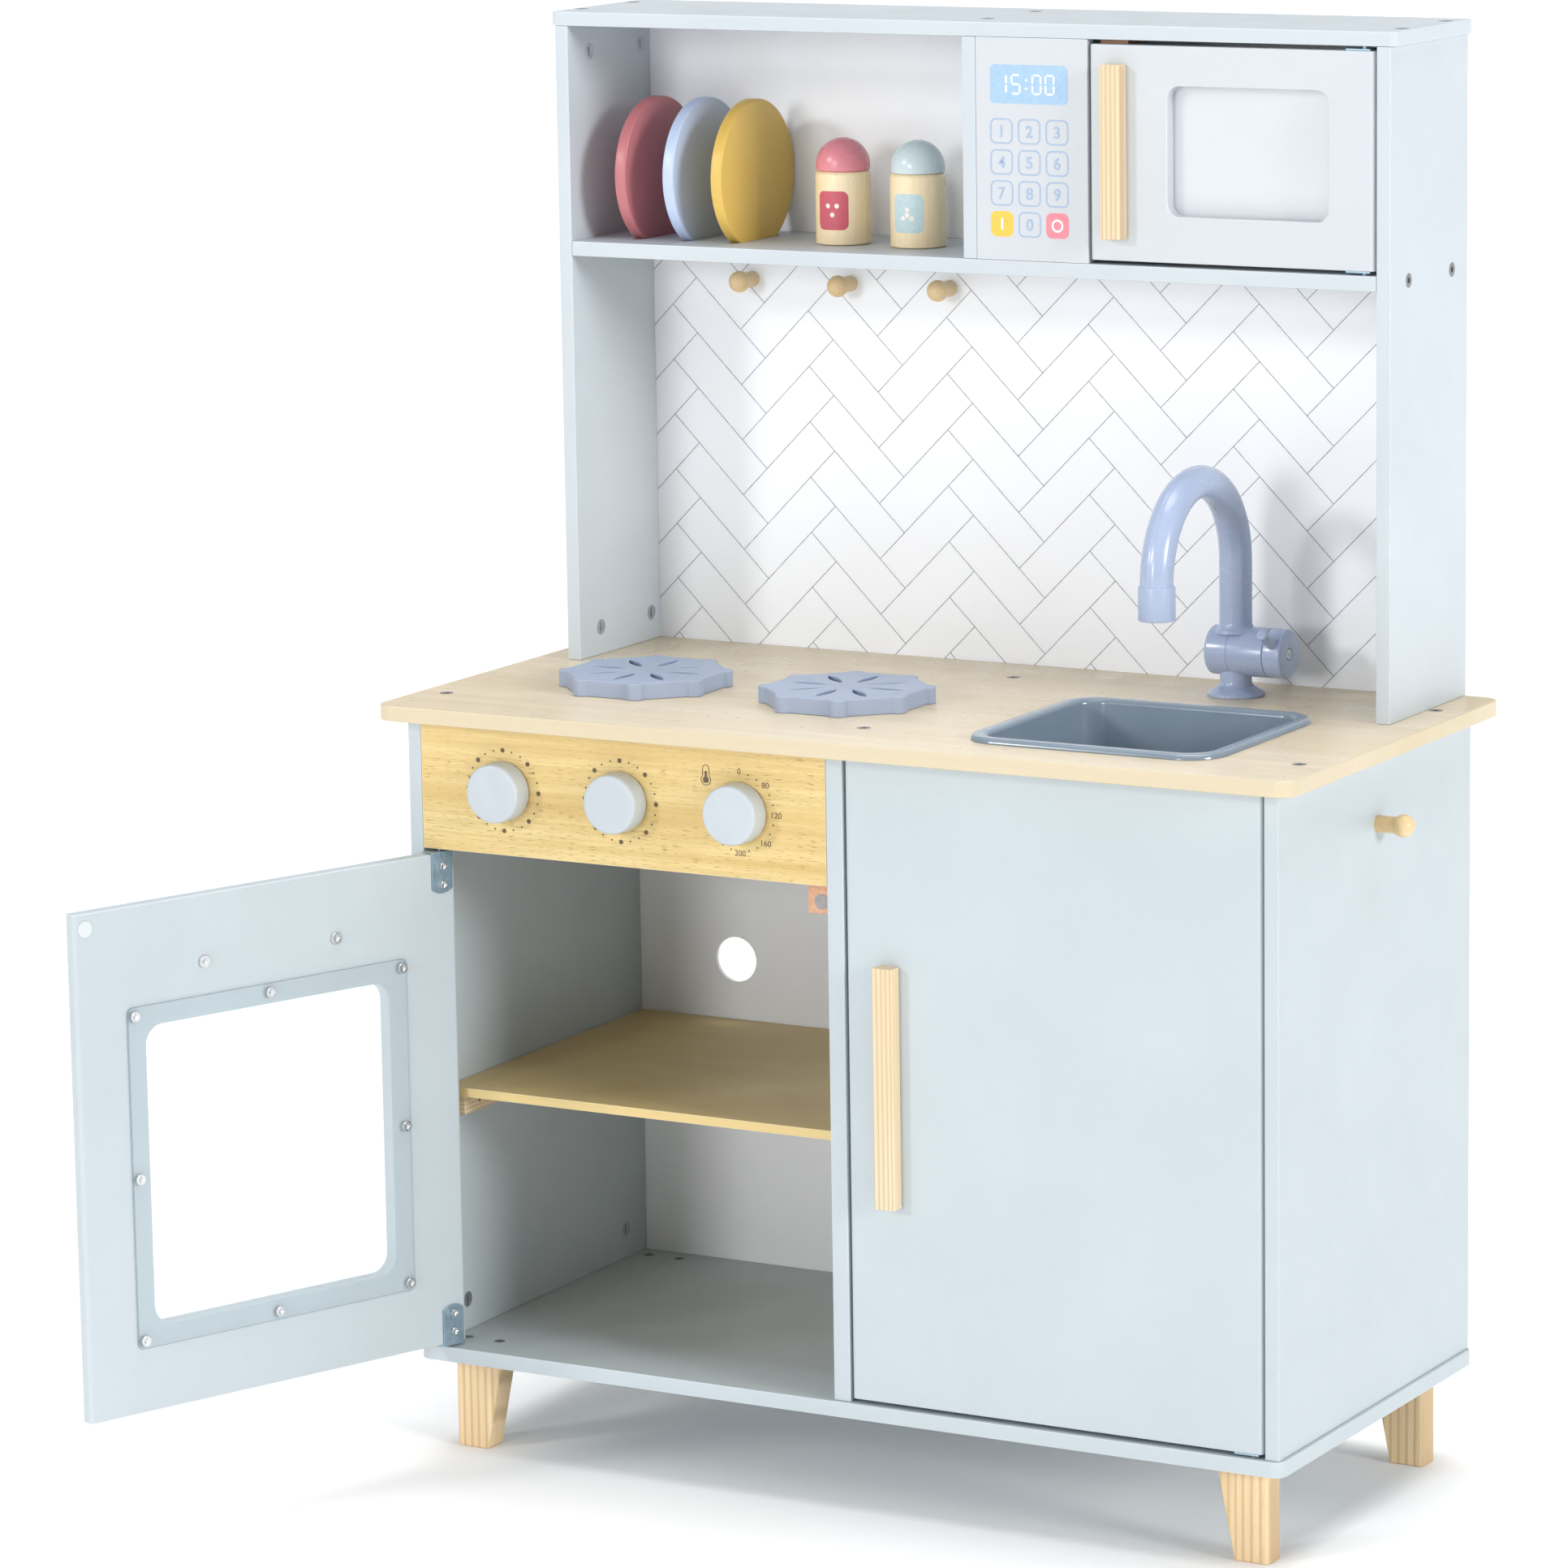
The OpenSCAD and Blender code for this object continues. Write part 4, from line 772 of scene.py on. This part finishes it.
def turn_shakers():
    """Two turned shakers with painted, domed caps. A neck inside the cap joins the two."""
    foot, shoulder, rim = 1.2 * MM, 3.2 * MM, 0.8 * MM
    neck, neck_tall, socket, socket_deep = 8 * MM, 6 * MM, 8.05 * MM, 8 * MM
    for kind, slot in (("red", "pink_paint"), ("mint", "mint_paint")):
        body, name = kind + "_shaker_body", "shaker_" + kind
        low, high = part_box(name + "_body")
        cap_low, cap_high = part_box(name + "_cap")
        x, y = (low.x + high.x) / 2, (low.y + high.y) / 2
        r, tall = (high.x - low.x) / 2, cap_low.z - low.z
        profile = [(0, 0), (r - 3 * MM, 0)] + arc(r - foot, foot, foot, -90, 0, 5)
        profile += arc(r - shoulder, tall - shoulder, shoulder, 0, 90, 9)
        profile += [(neck, tall), (neck, tall + neck_tall), (0, tall + neck_tall)]
        turned(name + "_turned", profile, (x, y, low.z), UP, 128,
               "beech", body, "beech", 40, (name + "_body",))
        cap_r, cap_tall = (cap_high.x - cap_low.x) / 2, cap_high.z - cap_low.z
        straight = cap_tall - cap_r
        cap = [(0, socket_deep), (socket, socket_deep), (socket, 0.2 * MM)]
        cap += arc(cap_r - rim, rim, rim, -90, 0, 4) + [(cap_r, straight)]
        cap += arc(0, straight, cap_r, 0, 90, 20)[1:-1] + [(0, cap_tall)]
        turned(name + "_cap_turned", cap, (x, y, cap_low.z), UP, 128,
               "cap_" + kind, body, slot, 40, (name + "_cap",))
        print_label(kind, body, Vector((x, y, low.z)), r)


def patch(shapes, centre, r, outline, lift):
    """A bent patch made of narrow upright strips, so that it follows the round body. Its middle
    is turned a little to the right of the front."""
    strips, turn, sunk = 16, math.radians(5), 0.2 * MM
    low, high = min(x for x, _ in outline), max(x for x, _ in outline)

    def heights(x):
        """The lowest and highest point of the outline at x."""
        hits = []
        for (x0, z0), (x1, z1) in zip(outline, outline[1:] + outline[:1]):
            if (x0 - x) * (x1 - x) <= 0 and abs(x1 - x0) > 1e-9:
                hits.append(z0 + (z1 - z0) * (x - x0) / (x1 - x0))
        return min(hits), max(hits)

    verts, faces = [], []
    for i in range(strips + 1):
        t = (1 - math.cos(math.pi * i / strips)) / 2
        x = low + (high - low) * min(max(t, 0.0005), 0.9995)
        a = x / r + turn
        for radius in (r - sunk, r + lift):
            for z in heights(x):
                verts.append(centre + Vector((radius * math.sin(a), -radius * math.cos(a), z)))
    for i in range(strips):
        a, b = 4 * i, 4 * (i + 1)
        faces += [(a + 2, b + 2, b + 3, a + 3), (a, a + 1, b + 1, b),
                  (a, b, b + 2, a + 2), (a + 1, a + 3, b + 3, b + 1)]
    end = 4 * strips
    faces += [(0, 2, 3, 1), (end, end + 1, end + 3, end + 2)]
    shapes.take(verts, faces)


def print_label(kind, body, base, r):
    """A printed label, with plain dots in place of a letter."""
    label_z = 22 * MM
    label = Shapes()
    patch(label, base, r, rounded(21 * MM, 24.5 * MM, 4 * MM, 8, 0, label_z), 0.10 * MM)
    label.piece("shaker_%s_label" % kind, ("ink_" + kind,), body, "beech")
    dots = Shapes()
    spots = {"red": [(-3, 3), (3, 3), (0, -2.6)], "mint": [(-3, -3), (3, -3), (0, 2.6), (0, -1)]}
    for x, z in spots[kind]:
        patch(dots, base, r, disc(x * MM, label_z + z * MM, 1.5 * MM, 24), 0.17 * MM)
    dots.piece("shaker_%s_dots" % kind, ("ink_cream",), body, "beech")


def turn_pegs():
    """Three pegs on the tiled panel and one on the right side, each ending in a ball."""
    low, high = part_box("hanging_pegs")
    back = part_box("tiled_back_panel")[0].y
    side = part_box("right_side_panel")[1].x
    ball, stem, dowel, length = 7 * MM, 5.2 * MM, 2.9 * MM, high.x - side
    first, pitch = low.x + ball, 72.5 * MM
    spots = [((first + i * pitch, back, high.z - ball), TO_FRONT) for i in range(3)]
    spots.append(((side, 0, low.z + ball), TO_RIGHT))
    profile = [(0, -2 * MM), (dowel, -2 * MM), (dowel, 0), (stem, 0), (stem, 2 * MM)]
    profile += [(stem * 0.97, length * 0.35), (stem * 0.98, length - 2 * ball + 1.6 * MM)]
    profile += arc(0, length - ball, ball, -48, 90, 18)[1:-1] + [(0, length)]
    for i, (spot, turn) in enumerate(spots):
        turned("peg_%d" % (i + 1), profile, spot, turn, 64, "peg", ROOT, "pine", 50,
               ("hanging_pegs",) if i == 0 else ())


# ---- Tap, sink and burners ----

TUBE = 10.25 * MM
BARREL = 15.5 * MM


def tap_tube(seam, riser_y, spout_y, barrel_z, arch_z, spout_z):
    """The bent tube: up the riser, over the arch and down to the spout, with a fine groove
    along the seam of the two shells."""
    bend, steps, groove = (riser_y - spout_y) / 2, 72, 0.28 * MM
    path = []
    for i in range(6):
        path.append((Vector((seam, riser_y, barrel_z + (arch_z - barrel_z) * i / 6)), Vector((0, 0, 1))))
    for i in range(49):
        a = math.pi * i / 48
        y, z = riser_y - bend + bend * math.cos(a), arch_z + bend * math.sin(a)
        path.append((Vector((seam, y, z)), Vector((0, -math.sin(a), math.cos(a)))))
    path.append((Vector((seam, spout_y, spout_z + 1 * MM)), Vector((0, 0, -1))))
    side = Vector((1, 0, 0))
    rings = []
    for spot, ahead in path:
        out = side.cross(ahead)
        ring = []
        for i in range(steps):
            a = 2 * math.pi * i / steps
            r = TUBE - (groove if i % (steps // 2) == steps // 4 else 0)
            ring.append(spot + side * (r * math.cos(a)) + out * (r * math.sin(a)))
        rings.append(ring)
    return skin(rings)


def spout_collar():
    """The thicker ring at the end of the spout, 21 mm tall, with the bore in its lower end."""
    r, bore = TUBE + 1.2 * MM, 8.3 * MM
    profile = [(0, 3 * MM), (bore, 3 * MM), (bore, 0.4 * MM), (bore + 0.4 * MM, 0)]
    profile += arc(r - 0.8 * MM, 0.8 * MM, 0.8 * MM, -90, 0, 4)
    profile += arc(r - 0.9 * MM, 20.1 * MM, 0.9 * MM, 0, 90, 4)
    return profile + [(TUBE - 0.5 * MM, 21 * MM), (0, 21 * MM)]


def riser_foot(tall):
    """The round foot on the worktop, and the neck that runs up from it into the barrel."""
    neck = 10 * MM
    profile = [(0, 0)] + arc(17.5 * MM, 0.5 * MM, 0.5 * MM, -90, 0, 3)
    profile += arc(17.4 * MM, 1.6 * MM, 0.6 * MM, 0, 70, 3) + [(12.2 * MM, 5.8 * MM)]
    profile += cove(neck, 2.2 * MM, 3.4 * MM, 5.8 * MM, (20, 45, 70, 90))
    return profile + [(neck, tall - 4 * MM), (0, tall)]


def cross_barrel(length, seam_at):
    """The barrel across the riser, with the seam's groove round it."""
    left_edge, right_edge, groove = 2.2 * MM, 0.6 * MM, 0.35 * MM
    profile = [(0, 0)] + arc(BARREL - left_edge, left_edge, left_edge, -90, 0, 6)
    profile += [(BARREL, seam_at - groove), (BARREL - 0.3 * MM, seam_at), (BARREL, seam_at + groove)]
    return profile + arc(BARREL - right_edge, length - right_edge, right_edge, 0, 90, 3) + [(0, length)]


def barrel_fillet():
    """The hollow round between the barrel and the riser above it."""
    inner, flare, rise = TUBE - 1 * MM, 3.4 * MM, 4.2 * MM
    profile = [(inner, -2 * MM), (TUBE + flare, -2 * MM)]
    profile += cove(TUBE, flare, rise, 0, (15, 35, 55, 75, 90))
    return profile + [(inner, rise), (inner, -2 * MM)]


def build_tap():
    low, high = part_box("tap_left_shell")
    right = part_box("tap_right_shell")[1].x
    seam, foot_z, riser_y = high.x, low.z, high.y - 18 * MM
    spout_y = low.y + TUBE + 1.2 * MM
    arch_z = high.z - (riser_y - spout_y) / 2 - TUBE
    barrel_z = middle("tap_cap").z
    spout_z = barrel_z + 35.5 * MM
    start = seam - 15.4 * MM
    tap = Shapes()
    tap.take(*tap_tube(seam, riser_y, spout_y, barrel_z, arch_z, spout_z))
    tap.take(*lathe(spout_collar(), (seam, spout_y, spout_z)))
    tap.take(*lathe(riser_foot(barrel_z - foot_z), (seam, riser_y, foot_z)))
    tap.take(*lathe(cross_barrel(right - start, seam - start), (start, riser_y, barrel_z), TO_RIGHT, 128))
    tap.take(*lathe(barrel_fillet(), (seam, riser_y, barrel_z + BARREL - 1.6 * MM)))
    tap.piece("tap_moulding", ("blue_grey",), ROOT, "blue_grey_plastic", 32,
              ("tap_left_shell", "tap_right_shell"))
    build_valve(right, riser_y, barrel_z)


def build_valve(seat, riser_y, barrel_z):
    """The cap that turns on the end of the barrel, and the lever on it, 30 degrees up."""
    low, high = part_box("tap_cap")
    tail, deep = seat + 0.3 * MM - low.x, high.x - low.x
    plug, hole_floor = 13 * MM, deep - 2.4 * MM
    cap = [(0, 0), (plug, 0), (plug, tail)]
    cap += arc(BARREL - 0.5 * MM, tail + 0.5 * MM, 0.5 * MM, -90, 0, 3)
    cap += arc(BARREL - 1.8 * MM, deep - 1.8 * MM, 1.8 * MM, 0, 90, 7)
    cap += [(4.2 * MM, deep), (3.6 * MM, deep - 0.5 * MM), (3.4 * MM, hole_floor), (0, hole_floor)]
    turned("tap_cap_turned", cap, (low.x, riser_y, barrel_z), TO_RIGHT, 128,
           "blue_grey", "tap_valve_body", "blue_grey_plastic", 32, ("tap_cap",))
    r, root, tip = 3.5 * MM, BARREL - 2 * MM, BARREL + 17.45 * MM
    lever = [(0, root), (r * 0.96, root), (r * 0.98, root + 3 * MM)]
    lever += arc(r - 1.6 * MM, tip - 1.6 * MM, 1.6 * MM, 0, 90, 6) + [(0, tip)]
    tilt = Matrix.Rotation(math.radians(-30), 3, "X") @ TO_FRONT
    turned("tap_lever_turned", lever, (middle("tap_lever").x, riser_y, barrel_z), tilt, 64,
           "blue_grey", "tap_valve_body", "blue_grey_plastic", 32, ("tap_lever",))


def build_sink():
    """The basin in one skin: up its outside, over the rim and down its inside to the drain."""
    low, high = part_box("sink_basin")
    centre = (low + high) / 2
    w, d = high.x - low.x, high.y - low.y
    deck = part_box("worktop")[1].z
    bottom = low.z + 2.5 * MM
    rim, wall, crown = 9.5, 2.2, (high.z - deck) / MM
    corner, rim_corner, inner_edge, inner_round = 15.5, 24, 3.2, 7
    rings = []

    def ring(inset, radius, base, rise):
        """A rounded outline, inset from the rim's by so many mm, and so many mm above base."""
        outline = rounded(w - 2 * inset * MM, d - 2 * inset * MM, radius * MM, 14, centre.x, centre.y)
        rings.append([(x, y, base + rise * MM) for x, y in outline])

    def circle(radius, rise):
        """A circle in the bottom, whose points line up with those of the last ring."""
        points = []
        for x, y, _ in rings[-1]:
            a = math.atan2(y - centre.y, x - centre.x)
            r = radius * MM
            points.append((centre.x + r * math.cos(a), centre.y + r * math.sin(a), bottom + rise * MM))
        rings.append(points)

    for angle in (0, 22.5, 45, 67.5, 90):
        lean, high_up = quarter(angle)
        ring(rim - wall + 4 * (1 - high_up), 14, low.z, 4 * lean)
    for rise in (-3, 0):
        ring(rim - wall, corner + wall, deck, rise)
    ring(0.3, rim_corner - 0.3, deck, 0)
    for angle in (0, 20, 45, 70, 90):
        lean, high_up = quarter(angle)
        ring(3 * lean, rim_corner - 3 * lean, deck, 0.5 + (crown - 0.5) * high_up)
    for angle in (90, 65, 40, 15, 0):
        lean, high_up = quarter(angle)
        ring(rim - inner_edge * lean, corner + inner_edge * lean, high.z, inner_edge * (high_up - 1))
    for angle in (0, 20, 45, 70, 90):
        lean, high_up = quarter(angle)
        ring(rim + 0.8 + inner_round * lean, corner - 5.5 * lean, bottom, inner_round * (1 - high_up))
    for radius, rise in ((28, 0), (12.5, 0), (11.3, -0.3), (10.6, -1.2), (8, -1.3)):
        circle(radius, rise)
    shapes = Shapes()
    shapes.take(*skin(rings))
    shapes.piece("sink_moulding", ("sink",), ROOT, "blue_grey_plastic", 40, ("sink_basin",))


def build_burners():
    ease("burners", ("blue_grey_matt",), 0.7, 3, angle=30, smallest=9)


# ---- Prints ----

def around(centre, degrees, across, upright):
    """A point (x, z) so many degrees clockwise from the top of an ellipse, its radii in mm."""
    a = math.radians(degrees)
    return centre.x + across * MM * math.sin(a), centre.z + upright * MM * math.cos(a)


def thermometer(x, z, r, neck, tall):
    """The outline of a thermometer: its bulb at (x, z) and its stem up to a round end, in mm."""
    start = math.degrees(math.asin(neck / r))
    points = arc(x, z, r * MM, 90 + start, 450 - start, 24)
    return points + arc(x, z + (tall - neck) * MM, neck * MM, 0, 180, 8)


def print_dials():
    """Rings of dots round the first two knobs, a scale of numbers round the third and a thermometer."""
    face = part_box("control_panel")[0].y
    marks = Shapes()
    for node in ("knob_left", "knob_middle"):
        for i in range(24):
            dot = (1.5 if i % 3 == 0 else 0.6) * MM
            marks.slab(disc(*around(middle(node), 15 * i, 25.5, 25.5), dot), face)
    knob = middle("knob_right")
    for i, number in enumerate(("0", "80", "120", "160", "200")):
        marks.words(number, 5.3 * MM, *around(knob, 45 * i, 26, 25.4), face)
    for i in (1, 2, 4, 5, 7, 8, 10, 11, 13, 14, 15):
        marks.slab(disc(*around(knob, 15 * i, 24.3, 24.3), 0.55 * MM), face)
    x, z = knob.x - 23.3 * MM, knob.z + 18.4 * MM
    marks.slab(thermometer(x, z, 3.6, 2.5, 9.4), face, hole=thermometer(x, z, 3.15, 2.05, 8.95))
    marks.slab(thermometer(x, z, 2.1, 0.75, 5.6), face, thick=0.13 * MM)
    marks.piece("dial_print", ("ink_dark",), ROOT, "oak_board")


# The bars of a display digit: half widths right, quarter heights up, and whether it lies level
BARS = {"top": (0, 2, True), "middle": (0, 0, True), "bottom": (0, -2, True),
        "upper_right": (1, 1, False), "lower_right": (1, -1, False),
        "lower_left": (-1, -1, False), "upper_left": (-1, 1, False)}
LIT = {"1": ("upper_right", "lower_right"),
       "5": ("top", "upper_left", "middle", "lower_right", "bottom"),
       "0": ("top", "upper_right", "lower_right", "bottom", "lower_left", "upper_left")}


def draw_digits(digits, mid, z, y):
    """The time on the display: four digits made of bars, and two dots."""
    tall, wide, b = 11.4 * MM, 5.6 * MM, 1.15 / 2 * MM
    for k, digit in ((-18.4, "1"), (-9, "5"), (5.4, "0"), (14.4, "0")):
        for place in LIT[digit]:
            right, up, level = BARS[place]
            half = (wide if level else tall / 2) / 2 - 0.35 * MM
            bar = [(-half, 0), (-half + b, -b), (half - b, -b), (half, 0), (half - b, b), (-half + b, b)]
            if not level:
                bar = [(-q, p) for p, q in bar]
            x, bar_z = mid + k * MM + right * wide / 2, z + up * tall / 4
            digits.slab([(x + p, bar_z + q) for p, q in bar], y, OVERPRINT)
    for dz in (-2.6, 2.6):
        digits.slab(disc(mid - 1.8 * MM, z + dz * MM, 0.75 * MM), y, OVERPRINT)


def print_keys():
    """The microwave's display, number keys and two coloured keys with plain symbols."""
    low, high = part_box("microwave_key_panel")
    face, mid, top = low.y, (low.x + high.x) / 2 - 1.6 * MM, high.z
    over = face - INK
    display, digits, outlines, numbers = Shapes(), Shapes(), Shapes(), Shapes()
    amber, pink, symbols = Shapes(), Shapes(), Shapes()
    display_z = top - 28.6 * MM
    display.slab(rounded(53.4 * MM, 23.8 * MM, 3.2 * MM, 6, mid, display_z), face)
    draw_digits(digits, mid, display_z, over)
    w, h, r, line = 15.6 * MM, 15.7 * MM, 4 * MM, 0.95 * MM
    for place, label in enumerate("123456789A0P"):
        row, col = divmod(place, 3)
        x, z = mid + (col - 1) * 19.1 * MM, top - (57.5 + 19.05 * row) * MM
        key = rounded(w, h, r, 6, x, z)
        if label == "A":
            amber.slab(key, face)
            symbols.slab(rounded(1.3 * MM, 7.4 * MM, 0.6 * MM, 4, x, z), over, OVERPRINT)
        elif label == "P":
            pink.slab(key, face)
            symbols.slab(disc(x, z, 4 * MM, 40), over, OVERPRINT, hole=disc(x, z, 2.8 * MM, 40))
        else:
            outlines.slab(key, face, hole=rounded(w - 2 * line, h - 2 * line, r - line, 6, x, z))
            numbers.words(label, 10.2 * MM, x, z, face, 0.22 * MM)
    prints = (("display_print", display, "ink_blue"), ("display_digits", digits, "ink_white"),
              ("key_outlines", outlines, "ink_line"), ("key_numbers", numbers, "ink_line"),
              ("amber_key", amber, "ink_amber"), ("pink_key", pink, "ink_pink"),
              ("key_symbols", symbols, "ink_white"))
    for name, shapes, ink_key in prints:
        shapes.piece(name, (ink_key,), ROOT, "white_board")


aim_camera()
light_studio()
lay_floor()
dress_boards()
dress_small_nodes()
turn_knobs()
turn_plates()
turn_shakers()
turn_pegs()
build_tap()
build_sink()
build_burners()
print_dials()
print_keys()
